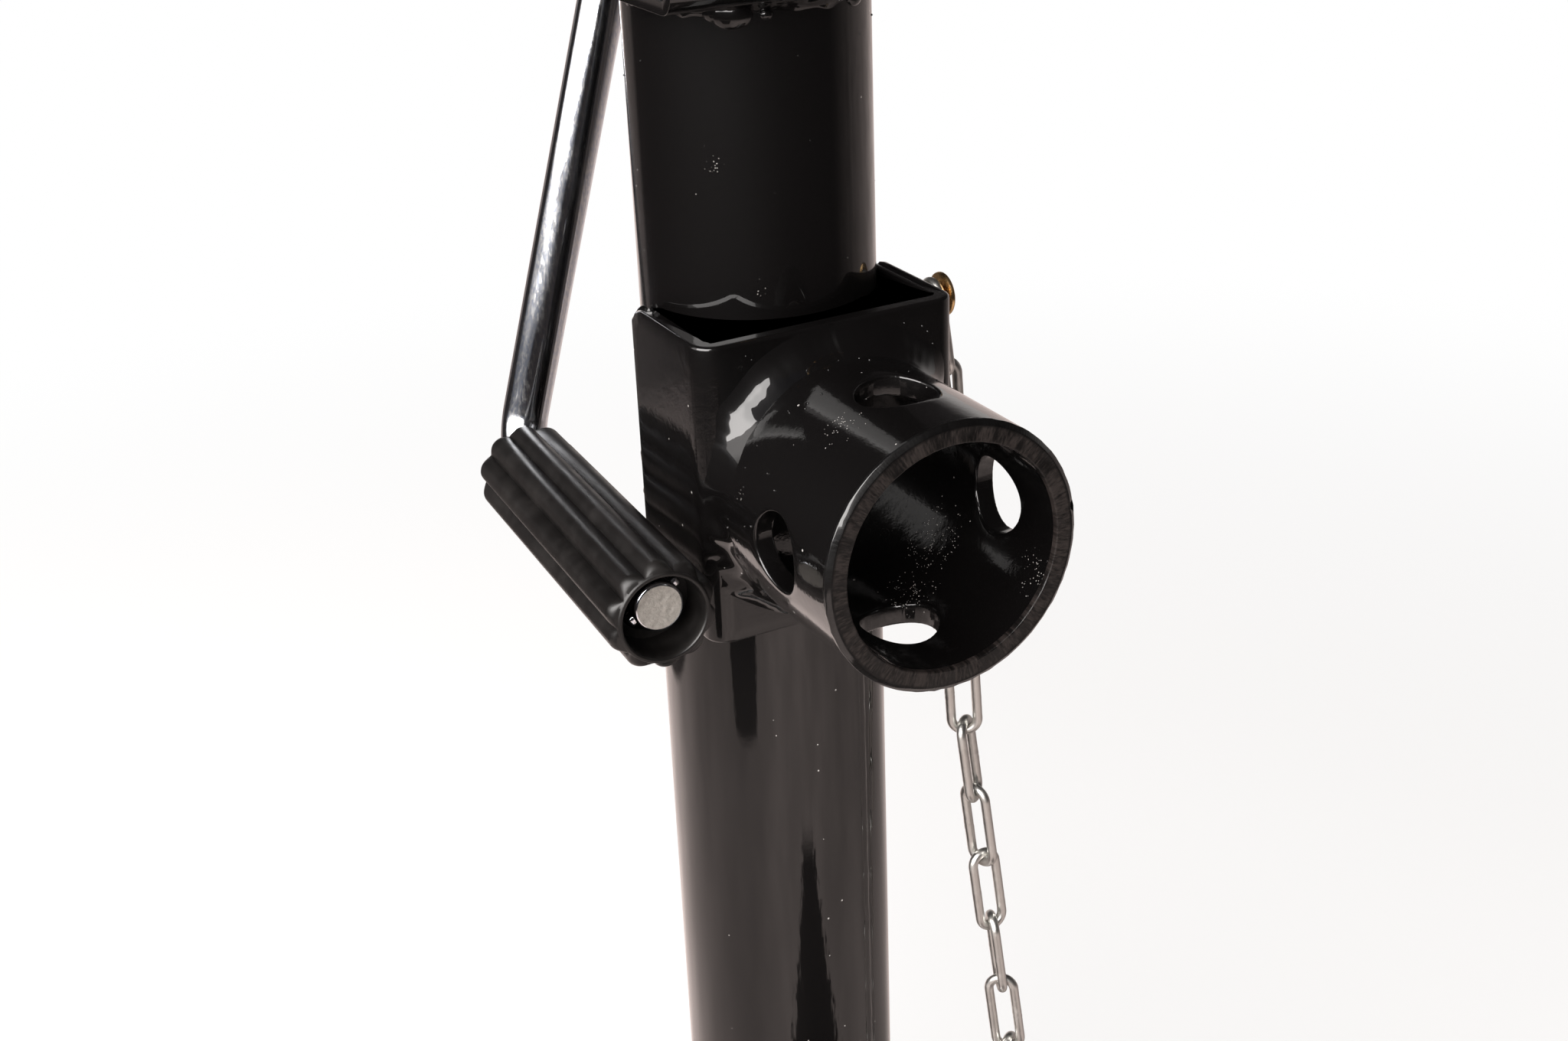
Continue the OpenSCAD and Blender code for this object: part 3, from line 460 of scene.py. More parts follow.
def quads(rows, cols, wrap_rows=False, wrap_cols=False, start=0):
    """Faces of a grid of rows x cols points, closed round either way."""
    r = np.arange(rows if wrap_rows else rows - 1)
    c = np.arange(cols if wrap_cols else cols - 1)
    r, c = (a.ravel() for a in np.meshgrid(r, c, indexing="ij"))
    r1, c1 = (r + 1) % rows, (c + 1) % cols
    return (np.stack([r * cols + c, r1 * cols + c, r1 * cols + c1, r * cols + c1], axis=1) + start).tolist()


def sheet_of(points, wrap_rows=False, wrap_cols=False, ends=False):
    """A grid of points (rows, cols, 3) as a part: its points and faces. ends closes the first and
    last row with one face each."""
    rows, cols = points.shape[:2]
    faces = quads(rows, cols, wrap_rows, wrap_cols)
    if ends:
        faces.append(list(range(cols)))
        faces.append([(rows - 1) * cols + i for i in reversed(range(cols))])
    return points.reshape(-1, 3), faces


def place(points, origin, across, along, up):
    """Local x, y and z laid along three directions from the origin."""
    return np.asarray(origin) + points @ np.array([across, along, up], float)


def build(name, parts, body, node, finish=None, stands_for=True, sharp=38, merge=0.004):
    """One piece from parts given in millimetres: doubles are merged, the normals point outwards,
    and edges sharper than the angle stay sharp. It stands for the CAD node unless told otherwise."""
    points, faces, start = [], [], 0
    for p, f in parts:
        points.append(np.asarray(p, float))
        faces += [[i + start for i in face] for face in f]
        start += len(p)
    mesh = bpy.data.meshes.new(name)
    mesh.from_pydata((np.concatenate(points) * MM).tolist(), [], faces)
    work = bmesh.new()
    work.from_mesh(mesh)
    bmesh.ops.remove_doubles(work, verts=work.verts, dist=merge * MM)
    bmesh.ops.dissolve_degenerate(work, edges=work.edges, dist=merge * MM * 0.5)
    bmesh.ops.recalc_face_normals(work, faces=work.faces)
    work.to_mesh(mesh)
    work.free()
    return finish_piece(name, mesh, body, node, finish, stands_for, sharp)


def finish_piece(name, mesh, body, node, finish, stands_for, sharp):
    """Gives a mesh its shading, finish, slot and body."""
    mesh.shade_smooth()
    mesh.set_sharp_from_angle(angle=math.radians(sharp))
    mesh.materials.append(finish or FINISHES[slot_of[node]])
    piece = bpy.data.objects.new(name, mesh)
    bpy.context.scene.collection.objects.link(piece)
    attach(piece, body)
    if stands_for:
        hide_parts(node)
    return piece


def softened(node, body, width, sharp=30, finish=None, name=None):
    """A copy of a CAD node, merged into one skin, with its edges rounded to width millimetres."""
    mesh = frame["nodes"][node].data.copy()
    work = bmesh.new()
    work.from_mesh(mesh)
    bmesh.ops.remove_doubles(work, verts=work.verts, dist=0.002 * MM)
    bmesh.ops.dissolve_limit(work, angle_limit=math.radians(0.6), verts=work.verts, edges=work.edges)
    work.to_mesh(mesh)
    work.free()
    mesh.materials.clear()
    piece = finish_piece(name or node + "_body", mesh, body, node, finish, True, 180)
    bevel = piece.modifiers.new("edges", "BEVEL")
    bevel.width, bevel.segments, bevel.limit_method = width * MM, 2, "ANGLE"
    bevel.angle_limit, bevel.harden_normals = math.radians(sharp), True
    bevel.use_clamp_overlap = True
    return piece


def rounded(points, radius, steps=5):
    """A closed outline whose corners are replaced by arcs tangent to both sides."""
    points = np.asarray(points, float)
    radii = np.broadcast_to(radius, len(points))
    out = []
    for i, (p, r) in enumerate(zip(points, radii)):
        a, b = unit(points[i - 1] - p), unit(points[(i + 1) % len(points)] - p)
        half = math.acos(np.clip(a @ b, -1, 1)) / 2
        if r <= 0 or half > 1.55:
            out.append(p[None])
            continue
        centre = p + unit(a + b) * r / math.sin(half)
        u, v = p + a * r / math.tan(half) - centre, p + b * r / math.tan(half) - centre
        turn = math.acos(np.clip(u @ v / (r * r), -1, 1))
        t = np.linspace(0, 1, steps + 1)[:, None]
        out.append(centre + (np.sin((1 - t) * turn) * u + np.sin(t * turn) * v) / math.sin(turn))
    return np.concatenate(out)


def lathe(profile, count=96):
    """A profile of (radius, height) turned about the local z axis, as a grid of count rows."""
    turn = np.linspace(0, 2 * np.pi, count, endpoint=False)[:, None]
    r, h = profile[None, :, 0], profile[None, :, 1]
    return np.stack([r * np.cos(turn), r * np.sin(turn), h + 0 * turn], axis=-1)


def prism(outline, low, high, edge, steps=3):
    """A closed outline in local x and y raised from low to high, with its end edges rounded: near
    each end the outline shrinks along its own normals as a quarter circle."""
    outline = np.asarray(outline, float)
    ahead, behind = np.roll(outline, -1, 0) - outline, outline - np.roll(outline, 1, 0)
    tangent = unit(unit(ahead) + unit(behind))
    area = np.sum(outline[:, 0] * np.roll(outline[:, 1], -1) - np.roll(outline[:, 0], -1) * outline[:, 1])
    normal = np.stack([tangent[:, 1], -tangent[:, 0]], axis=1) * np.sign(area)
    t = np.linspace(0, np.pi / 2, steps + 1)
    inset = np.concatenate([edge * (1 - np.sin(t)), edge * (1 - np.sin(t[::-1]))])
    height = np.concatenate([low + edge * (1 - np.cos(t)), high - edge * (1 - np.cos(t[::-1]))])
    inset = np.concatenate([[edge * 1.35], inset, [edge * 1.35]])
    height = np.concatenate([[low], height, [high]])
    return np.array([np.column_stack([outline - normal * i, np.full(len(outline), h)]) for i,
                     h in zip(inset, height)])


# ------------------------------------------------------------------ painted frame

TUBE_LOW, TUBE_HIGH = corners("outer_tube")
TUBE_R = TUBE_HIGH[0]
TUBE_WALL = 2.9
SEAM = math.radians(-66.0)                  # where the tube's weld seam runs
MOUNT_LOW, MOUNT_HIGH = corners("pipe_mount")
MOUNT_R = MOUNT_HIGH[0]
BORE_R = mounts["swivel_bore"]["dims"]["r_mm"]
MOUTH_Y, ROOT_Y = MOUNT_LOW[1], MOUNT_HIGH[1]
LOCK_Y = mounts["lock_bore_upright"]["pos_m"][1] / MM
LOCK_R = mounts["lock_bore_upright"]["dims"]["r_mm"]
BRACKET_LOW, BRACKET_HIGH = corners("swivel_bracket")
BRACKET_X = BRACKET_HIGH[0]
BRACKET_T, BRACKET_BEND, BRACKET_CORNER = 4.8, 5.5, 4.5
FLOOR_Z = TUBE_HIGH[2]                      # underside of the gear housing


def add_outer_tube():
    """A tube with a raised, slightly torn weld seam: the radius grows in a narrow hump around the
    seam's angle, whose height changes along the tube."""
    even = np.linspace(-np.pi, np.pi, 180, endpoint=False)
    close = SEAM + np.linspace(-1.6, 1.6, 17) / TUBE_R
    turn = np.sort(np.concatenate([even[np.abs(even - SEAM) > 1.8 / TUBE_R], close]))[:, None]
    rise = np.linspace(TUBE_LOW[2] + 0.5, FLOOR_Z, 150)
    edge = rounded([[TUBE_R - TUBE_WALL, 0], [TUBE_R, 0], [TUBE_R, 9], [TUBE_R - TUBE_WALL, 9]],
                   [0.4, 0.5, 0, 0], 3)
    outside = np.column_stack([np.full(150, TUBE_R), rise])
    foot = np.column_stack([edge[:8, 0], edge[:8, 1] + TUBE_LOW[2]])
    profile = np.concatenate([foot, outside, [[TUBE_R - TUBE_WALL, FLOOR_Z]]])
    z = profile[None, :, 1] + 0 * turn
    off = (turn - SEAM) * TUBE_R - 0.25 * waves(3, z / 9.0)
    hump = 0.22 * np.exp(-(off / 0.55) ** 2) * (0.75 + 0.45 * waves(4, z / 4.0, low=0.4, high=1.6))
    groove = -0.10 * np.exp(-((np.abs(off) - 1.1) / 0.35) ** 2)
    on_skin = (profile[None, :, 0] > TUBE_R - 0.3) * np.clip((BRACKET_HIGH[2] + 4 - z) / 8, 0.06, 1)
    r = profile[None, :, 0] + (hump + groove) * on_skin
    points = np.stack([r * np.cos(turn), r * np.sin(turn), z], axis=-1)
    build("tube_with_seam", [sheet_of(points, True, True)], "frame", "outer_tube")


def add_pipe_mount():
    """Four equal quarters, each with one cross hole. In a quarter, u runs across the hole's axis and
    y along the mount. Rows go round the hole; columns run from the quarter's edge over the outside,
    round the hole's rim, down its wall and back over the inside. A wall point lies at the depth's
    radius: sqrt(radius squared - u squared) from the mount's axis."""
    lip = 0.7
    steps = 28
    side = np.linspace(-1, 1, steps, endpoint=False)
    one = np.ones(steps)
    square = np.concatenate([
        np.column_stack([one, side]), np.column_stack([-side, one]),
        np.column_stack([-one, -side]), np.column_stack([side, -one]),
    ])
    parts = []
    wall = MOUNT_R - BORE_R
    half = MOUNT_R * math.sin(math.pi / 4)
    t = np.linspace(0, np.pi / 2, 5)
    out_share = np.linspace(0, 1, 14) ** 1.4
    depth = np.concatenate([np.zeros(14), lip * (1 - np.cos(t[1:])), [wall / 2],
                            wall - lip * (1 - np.cos(t[::-1][:-1])), np.full(14, wall)])
    reach = np.concatenate([lip * (1 - np.sin(t[1:])), [0.0], lip * (1 - np.sin(t[::-1][:-1]))])
    low, high = MOUTH_Y + 1.6, ROOT_Y
    for quarter in range(4):
        angle = math.pi / 2 * quarter
        rows = []
        for skin_r in (MOUNT_R, BORE_R):
            edge_u = square[:, 0] * skin_r * math.sin(math.pi / 4)
            edge_y = np.where(square[:, 1] > 0, square[:, 1] * (high - LOCK_Y), square[:, 1] * (LOCK_Y - low))
            rows.append(np.column_stack([edge_u, edge_y]))
        heading = np.arctan2(rows[0][:, 1] / (high - LOCK_Y + LOCK_Y - low) * 2, rows[0][:, 0] / half)
        ring = np.column_stack([np.cos(heading), np.sin(heading)])
        cols = []
        for k in range(14):
            cols.append(rows[0] * (1 - out_share[k]) + ring * (LOCK_R + lip) * out_share[k])
        lines = 0.06 * waves(12 + quarter, heading * 7.0, low=0.7, high=2.2)[:, None]
        for r in reach:
            cols.append(ring * (LOCK_R + r + lines * (r < 0.3)))
        for k in range(14)[::-1]:
            cols.append(rows[1] * (1 - out_share[k]) + ring * (LOCK_R + lip) * out_share[k])
        uy = np.stack(cols, axis=1)
        level = MOUNT_R - depth[None, :] + 0 * uy[..., 0]
        out = np.sqrt(level ** 2 - uy[..., 0] ** 2)
        flat = np.stack([uy[..., 0], uy[..., 1] + LOCK_Y, out], axis=-1)
        x = flat[..., 0] * math.cos(angle) + flat[..., 2] * math.sin(angle)
        z = -flat[..., 0] * math.sin(angle) + flat[..., 2] * math.cos(angle)
        parts.append(sheet_of(np.stack([x, flat[..., 1], z + AXIS_Z], axis=-1), True, False))
    share = np.linspace(-1, 1, steps, endpoint=False)
    turn = np.concatenate([np.arcsin(share * math.sin(math.pi / 4)) + math.pi / 2 * q for q in range(4)])[:,
            None]
    mouth = rounded([[BORE_R, 1.6], [BORE_R, 0.06], [MOUNT_R - 1.2, 0.06], [MOUNT_R, 0.9], [MOUNT_R, 1.6]],
                    [0, 0.35, 0.35, 0.35, 0], 4)
    gap = int(np.argmax(np.diff(mouth[:, 0])))
    share = np.array([0.03, 0.2, 0.5, 0.8, 0.97])[:, None]
    mouth = np.concatenate([mouth[:gap + 1], mouth[gap] + (mouth[gap + 1] - mouth[gap]) * share,
                            mouth[gap + 1:]])
    r, y = mouth[None, :, 0], mouth[None, :, 1]
    cut = 0.055 * waves(8, turn * 6.0 + r * 0.10, low=0.8, high=2.4) + 0.035 * waves(9, turn * 17.0 + r * 0.2,
            low=0.6, high=2.0)
    nick = 0.9 * np.exp(-((turn - 1.42) / 0.028) ** 2) * np.clip((r - BORE_R - 2.5) / 2.5, 0, 1) * (y < 0.9)
    y = np.maximum(y + cut * (y < 0.4), 0.0) + nick
    burr = 0.10 * waves(10, turn * 6.0, low=0.6, high=2.4) * ((y > 0.2) & (y < 1.3))
    points = np.stack([(r + burr) * np.sin(turn), MOUTH_Y + y, (r + burr) * np.cos(turn) + AXIS_Z], axis=-1)
    build("pipe_mount_mouth", [sheet_of(points, True, False)], "frame", "pipe_mount", RIM, sharp=35,
          merge=0.02)
    root = np.stack([np.stack([rr * np.sin(turn[:, 0]), np.full(len(turn), ROOT_Y),
                               rr * np.cos(turn[:, 0]) + AXIS_Z], axis=-1) for rr in (MOUNT_R, BORE_R)],
                               axis=1)
    parts.append(sheet_of(root, True, False))
    build("pipe_mount_shell", parts, "frame", "pipe_mount", CRUST, sharp=50, merge=0.02)


def add_bracket():
    """The bent channel: its plan outline raised between the lower and upper rim with rounded edges.
    Near the rear ends the rims drop as quarter circles."""
    t, bend = BRACKET_T, BRACKET_BEND
    x, front = BRACKET_X, BRACKET_LOW[1]
    inner = x - t
    plan = [[x, 0], [x, front], [-x, front], [-x, 0], [-inner, 0], [-inner, front + t], [inner, front + t],
            [inner, 0]]
    outline = rounded(plan, [0.5, bend, bend, 0.5, 0.5, 0.8, 0.8, 0.5], 7)
    dense = [outline[0]]
    for a, b in zip(outline, np.roll(outline, -1, 0)):
        n = max(1, int(np.linalg.norm(b - a) / 2.0))
        dense += [a + (b - a) * k / n for k in range(1, n + 1)]
    outline = np.array(dense[:-1])
    rows = prism(outline, BRACKET_LOW[2], BRACKET_HIGH[2], 0.9, 4)
    low, high = rows[: len(rows) // 2], rows[len(rows) // 2:]
    share = np.linspace(0, 1, 26)[1:-1, None, None]
    rows = np.concatenate([low, low[-1] + (high[0] - low[-1]) * share, high])
    c = BRACKET_CORNER
    back = np.clip(rows[..., 1] + c, 0, c)
    drop = c - np.sqrt(np.clip(c * c - back ** 2, 0, None))
    middle = (BRACKET_LOW[2] + BRACKET_HIGH[2]) / 2
    span = (BRACKET_HIGH[2] - BRACKET_LOW[2]) / 2
    rows[..., 2] = middle + (rows[..., 2] - middle) * (span - drop) / span
    parts = [sheet_of(rows, False, True, True)]
    build("bracket_channel", parts, "frame", "swivel_bracket", CRUST)


def lay_on_bracket(x):
    """y of the bracket's front skin at x: flat, then falling back round the bend's circle."""
    over = np.clip(np.abs(x) - (BRACKET_X - BRACKET_BEND), 0, BRACKET_BEND - 0.01)
    return BRACKET_LOW[1] + BRACKET_BEND - np.sqrt(BRACKET_BEND ** 2 - over ** 2)


def add_mount_weld():
    """A broad smooth fillet round the pipe mount's root. Rows go round the mount; columns go from the
    toe on the mount to the toe on the bracket along a hollow curve, and close inside both. The
    toes wander slowly, and a few soft knobs stand up at the lower left."""
    count = 480
    turn = np.linspace(0, 2 * np.pi, count, endpoint=False)[:, None]
    v = np.linspace(0, 1, 21)[None, :]
    arc = turn * MOUNT_R
    toe_out = 6.2 + 0.7 * waves(21, arc / 60, low=0.5, high=1.2) + 0.22 * waves(22, arc / 11, low=0.5,
            high=1.3)
    toe_side = 6.9 + 0.5 * waves(23, arc / 55, low=0.5, high=1.2) + 0.25 * waves(24, arc / 12, low=0.5,
            high=1.3)
    room = (AXIS_Z - BRACKET_LOW[2] - 0.6 - MOUNT_R) / np.clip(-np.cos(turn), 0.35, 1) - 0.4
    toe_side = np.where(np.cos(turn) < -0.5, np.minimum(toe_side, np.maximum(room, 2.2)), toe_side)
    widest = (BRACKET_X - 0.3) / np.clip(np.abs(np.sin(turn)), 1e-3, 1) - MOUNT_R
    toe_side = np.minimum(toe_side, np.maximum(widest, 1.9))
    rx = (MOUNT_R + toe_side) * np.sin(turn)
    rz = (MOUNT_R + toe_side) * np.cos(turn)
    ry = lay_on_bracket(rx) + 0.12
    ax, az = (MOUNT_R - 0.04) * np.sin(turn), (MOUNT_R - 0.04) * np.cos(turn)
    ay = ROOT_Y - toe_out
    knobs = sum(h * np.exp(-((turn - math.radians(a)) * MOUNT_R / w) ** 2 - ((v - c) / 0.3) ** 2)
                for a, w, c, h in ((258, 2.6, 0.55, 1.3), (250, 1.8, 0.75, 1.0), (243, 2.4, 0.5, 0.9),
                                   (232, 3.0, 0.6, 0.8), (205, 2.5, 0.5, 0.9), (120, 3.0, 0.5, 0.6)))
    ripple = 0.022 * waves(26, arc / 5.0, v * 0.8, low=0.5,
                           high=1.3) + 0.010 * np.sin(2 * np.pi * (arc / 2.6 - 0.3 * np.sin(np.pi * v)))
    push = (-1.15 + 0.25 * waves(25, arc / 30, low=0.4, high=1.2) + ripple) * np.sin(np.pi * v) + knobs
    x = ax * (1 - v) + rx * v + push * np.sin(turn) * 0.7
    z = az * (1 - v) + rz * v + push * np.cos(turn) * 0.7
    y = ay * (1 - v) + ry * v - push * 0.7
    inner = np.stack([0.96 * MOUNT_R * np.sin(turn), ROOT_Y + 0.6 + 0 * turn, 0.96 * MOUNT_R * np.cos(turn)],
                     axis=-1)
    points = np.concatenate([np.stack([x, y, z], axis=-1), inner], axis=1)
    points[..., 2] += AXIS_Z
    build("mount_weld_bead", [sheet_of(points, True, True)], "frame", "mount_weld", WELD, sharp=75)


def add_corner_run():
    """A run of weld down the bracket's right front bend: a half round section that swells towards
    the mount and fades at both ends."""
    rise = np.linspace(AXIS_Z + 37.0, AXIS_Z - 4.0, 90)[:, None]
    s = np.linspace(0, 1, 90)[:, None]
    turn = np.linspace(0, 2 * np.pi, 20, endpoint=False)[None, :]
    swell = np.clip(np.sin(np.pi * np.clip(s * 0.92, 0, 1) ** 1.6), 0, 1) ** 0.7
    size = 0.15 + 3.1 * swell * (1 + 0.05 * waves(31, s * 5.0, low=0.4, high=1.4))
    x = BRACKET_X - 1.5 + size * np.cos(turn) * 0.8
    y = BRACKET_LOW[1] + 6.2 + size * 1.35 * np.sin(turn)
    points = np.stack([x, y, rise + 0 * turn], axis=-1)
    build("corner_weld_run", [sheet_of(points, False, True, True)], "frame", "mount_weld", WELD, False, 60)


def knob_on_tube(heading, height, wide, tall, thick):
    """A rounded drip on the tube: an ellipsoid whose width bends round the tube's skin."""
    t = np.linspace(0.05, np.pi - 0.05, 20)[None, :]
    a = np.linspace(0, 2 * np.pi, 40, endpoint=False)[:, None]
    across, up, out = np.sin(t) * np.cos(a) * wide, np.sin(t) * np.sin(a) * tall, np.cos(t) * thick + 0 * a
    turn, r = heading + across / TUBE_R, TUBE_R + out
    return sheet_of(np.stack([r * np.cos(turn), r * np.sin(turn), height + up], axis=-1).transpose(1, 0, 2),
                    False, True, True)


def add_housing_weld():
    """A rough fillet between the tube and the housing's floor, with a few rounded drips. Rows go round
    the tube, columns from the toe on the tube to the toe on the floor."""
    count = 460
    turn = np.linspace(-np.pi, np.pi, count, endpoint=False)[:, None]
    v = np.linspace(0, 1, 17)[None, :]
    arc = turn * TUBE_R
    down = 3.4 + 0.8 * waves(41, arc / 22, low=0.5, high=1.3) + 0.30 * waves(42, arc / 7, low=0.5, high=1.3)
    out = 5.2 + 0.9 * waves(43, arc / 18, low=0.5, high=1.3) + 0.6 * waves(44, arc / 5, low=0.5, high=1.4)
    lumps = 0.30 * waves(45, arc / 7.5, v * 1.1, low=0.5, high=1.3)
    push = (0.1 + lumps) * np.sin(np.pi * v)
    r = TUBE_R - 0.05 + (out + 0.05) * v ** 1.3 + push * 0.8
    z = FLOOR_Z - down * (1 - v) ** 1.25 - push * 0.5
    z = np.minimum(z, FLOOR_Z - 0.01)
    z[:, -1] = FLOOR_Z + 0.2
    points = np.stack([r * np.cos(turn), r * np.sin(turn), z], axis=-1)
    back = np.stack([(TUBE_R - 1) * np.cos(turn), (TUBE_R - 1) * np.sin(turn), FLOOR_Z + 0.2 + 0 * turn],
                    axis=-1)
    parts = [sheet_of(np.concatenate([points, back], axis=1), True, True)]
    for heading, drop, wide, tall, thick in ((-123, 3.3, 4.6, 3.4, 1.7), (-131, 2.6, 2.6, 2.4, 1.2),
                                             (-108, 3.6, 1.5, 1.2, 0.9), (-60, 2.8, 3.0, 2.2, 1.2)):
        parts.append(knob_on_tube(math.radians(heading), FLOOR_Z - drop, wide, tall, thick))
    build("housing_weld_bead", parts, "frame", "housing_weld", WELD, sharp=60)


def add_side_welds():
    """A lumpy bead up the tube behind each side of the bracket, with a raised knob at its top."""
    s = np.linspace(0, 1, 150)[:, None]
    turn = np.linspace(0, 2 * np.pi, 22, endpoint=False)[None, :]
    parts = []
    for side, seed in ((-1, 51), (1, 52)):
        rise = BRACKET_LOW[2] + 1.5 + s * (BRACKET_HIGH[2] - BRACKET_LOW[2] - 2.2)
        size = 2.6 + 0.25 * waves(seed, s * 8, low=0.4, high=1.3) + 0.10 * waves(seed + 7, s * 24, low=0.5,
                high=1.2)
        size = size * np.sqrt(np.clip(1 - (2 * s - 1) ** 10, 0.02,
                                      1)) * (1 + 0.18 * np.exp(-((s - 0.97) / 0.03) ** 2))
        x = side * (BRACKET_X - BRACKET_T * 0.70) + size * np.cos(turn) * 0.98
        y = 0.5 + size * np.sin(turn)
        parts.append(sheet_of(np.stack([x, y, rise + 0 * turn], axis=-1), False, True, True))
    build("bracket_weld_beads", parts, "frame", "bracket_welds", WELD, sharp=60)


def add_spatter():
    """Small beads of weld metal that stuck beside the welds: flattened domes of a few faces."""
    rng = np.random.default_rng(77)
    dome_turn = np.linspace(0, 2 * np.pi, 8, endpoint=False)[:, None]
    tilt = np.array([[1.0, 0.86, 0.5, 0.0]])
    level = np.array([[-0.25, 0.35, 0.8, 1.0]])
    dome = np.stack([tilt * np.cos(dome_turn), tilt * np.sin(dome_turn), level + 0 * dome_turn], axis=-1)
    parts = []

    def drop(at, normal, size):
        side = unit(np.cross(normal, [0.3, 0.5, 0.81]))
        grid = dome * size
        parts.append(sheet_of(place(grid.reshape(-1, 3), at, side, np.cross(normal, side),
                                    normal).reshape(grid.shape), True, False))

    for _ in range(70):
        a = rng.uniform(-2.9, 2.9)
        y = ROOT_Y - 5 - abs(rng.normal()) * 9
        n = np.array([math.sin(a), 0, math.cos(a)])
        if y > MOUTH_Y + 3:
            drop(np.array([0, y, AXIS_Z]) + n * MOUNT_R, n, rng.uniform(0.12, 0.34))
    for _ in range(60):
        a = rng.uniform(0, 2 * np.pi)
        r = MOUNT_R + 7 + abs(rng.normal()) * 5
        x, z = r * math.sin(a), r * math.cos(a)
        if abs(x) < BRACKET_X - 7 and BRACKET_LOW[2] - AXIS_Z + 3 < z < BRACKET_HIGH[2] - AXIS_Z - 3:
            drop(np.array([x, BRACKET_LOW[1], z + AXIS_Z]), np.array([0, -1.0, 0]), rng.uniform(0.12, 0.34))
    for _ in range(46):
        a = rng.uniform(-np.pi, np.pi)
        z = FLOOR_Z - 8 - abs(rng.normal()) * 22
        n = np.array([math.cos(a), math.sin(a), 0])
        drop(n * TUBE_R + [0, 0, z], n, rng.uniform(0.12, 0.30))
    build("weld_spatter", parts, "frame", "mount_weld", PAINT, False, 60)


# ------------------------------------------------------------------ crank, grip, chain and pins

def crank_frame():
    """The stowed crank's own axes: across the fork, back along the grip, and up the rod."""
    pivot, across = joint_line("crank_fold")
    middle, grip_axis = joint_line("grip_spin")
    up = unit(np.cross(across, [0.0, 1.0, 0.0]))
    back = -grip_axis
    return pivot, across, unit(np.cross(back, up)), back, up, middle, grip_axis


def sweep(path, around, radius, count=48):
    """A round section of the given radius carried along a path of points: at each point the ring
    lies square to the path, between the around direction and the cross product of the two. The
    radius is one value, or a column with one value for each point of the path."""
    path = np.asarray(path, float)
    tangent = unit(np.gradient(path, axis=0))
    side = unit(around - np.sum(around * tangent, axis=1)[:, None] * tangent)
    other = np.cross(tangent, side)
    turn = np.linspace(0, 2 * np.pi, count, endpoint=False)
    radius = np.broadcast_to(radius, (len(path), count))[..., None]
    return path[:,
                None] + radius * (side[:, None] * np.cos(turn)[None, :, None] + other[:,
                        None] * np.sin(turn)[None, :, None])


def add_crank_arm():
    """A bent round rod with a flattened tang at the fork, and two ears pinched out near its end to
    hold the grip. The rod is a circle carried down the arm, round the bend and along the grip."""
    pivot, across, side, back, up = crank_frame()[:5]
    rod_r, bend, length, reach = 6.0, 13.0, 164.6, 102.5
    down = np.linspace(-13.5, -length + bend, 60)
    arm = np.column_stack([0 * down, 0 * down, down])
    t = np.linspace(0, np.pi / 2, 18)[1:]
    elbow = np.column_stack([0 * t, -bend * (1 - np.cos(t)), -length + bend - bend * np.sin(t)])
    run = -np.concatenate([np.linspace(bend, reach - 0.9, 60)[1:],
                           reach - 0.9 + 0.9 * np.sin(np.linspace(0, 1.45, 5)[1:])])
    grip_run = np.column_stack([0 * run, run, -length + 0 * run])
    path = np.concatenate([arm, elbow, grip_run])
    radius = np.full(len(path), rod_r)
    radius[-4:] = rod_r - 0.9 * (1 - np.cos(np.linspace(0, 1.45, 5)[1:]))
    radius[:3] = [4.6, 5.4, 6.0]
    points = sweep(path, np.array([1.0, 0, 0]), radius[:, None])
    rod = sheet_of(points, False, True, True)
    rod = (place(rod[0], pivot, side, back, up), rod[1])
    half_w, half_t, top = 6.4, 3.0, 6.4
    a = np.linspace(0, np.pi, 26)
    outline = np.concatenate([np.column_stack([half_w * np.cos(a), top * np.sin(a)]),
                              [[-half_w, -8], [-5.2, -15.0], [5.2, -15.0], [half_w, -8]]])
    tang = prism(outline, -half_t, half_t, 0.7, 3)
    tang = tang[..., [2, 0, 1]]
    tang_grid = tang.shape
    tang = sheet_of(place(tang.reshape(-1, 3), pivot, across, np.cross(up, across), up).reshape(tang_grid),
                    False, True, True)
    turn = math.radians(40.0)
    box = rounded([[-1.4, -7.5], [1.4, -7.5], [1.4, 7.5], [-1.4, 7.5]], 0.9, 4)
    ears = prism(box, -reach + 3.0, -reach + 6.0, 0.8, 3)
    x, z = ears[..., 0], ears[..., 1]
    ears = np.stack([x * math.cos(turn) + z * math.sin(turn), ears[..., 2],
                     -x * math.sin(turn) + z * math.cos(turn) - length], axis=-1)
    shape = ears.shape
    ears = sheet_of(place(ears.reshape(-1, 3), pivot, side, back, up).reshape(shape), False, True, True)
    build("crank_rod", [rod, tang, ears], "crank", "crank_arm", sharp=50)
    rings = np.linspace(0.02, rod_r - 0.75, 16)
    turn = np.linspace(0, 2 * np.pi, 64, endpoint=False)[:, None]
    torn = 0.05 * waves(33, rings * np.cos(turn) / 2.2, rings * np.sin(turn) / 2.2)
    face = np.stack([rings * np.cos(turn), -reach - 0.06 + torn * (rings < 5) - 0.04,
                     -length + rings * np.sin(turn)], axis=-1)
    back_face = np.stack([rings[::-1] * np.cos(turn), -reach + 0.4 + 0 * turn * rings,
                          -length + rings[::-1] * np.sin(turn)], axis=-1)
    disc = np.concatenate([face, back_face], axis=1)
    disc = place(disc.reshape(-1, 3), pivot, side, back, up).reshape(disc.shape)
    build("rod_end_face", [sheet_of(disc, True, True)], "crank", "crank_arm", SAWN, False)


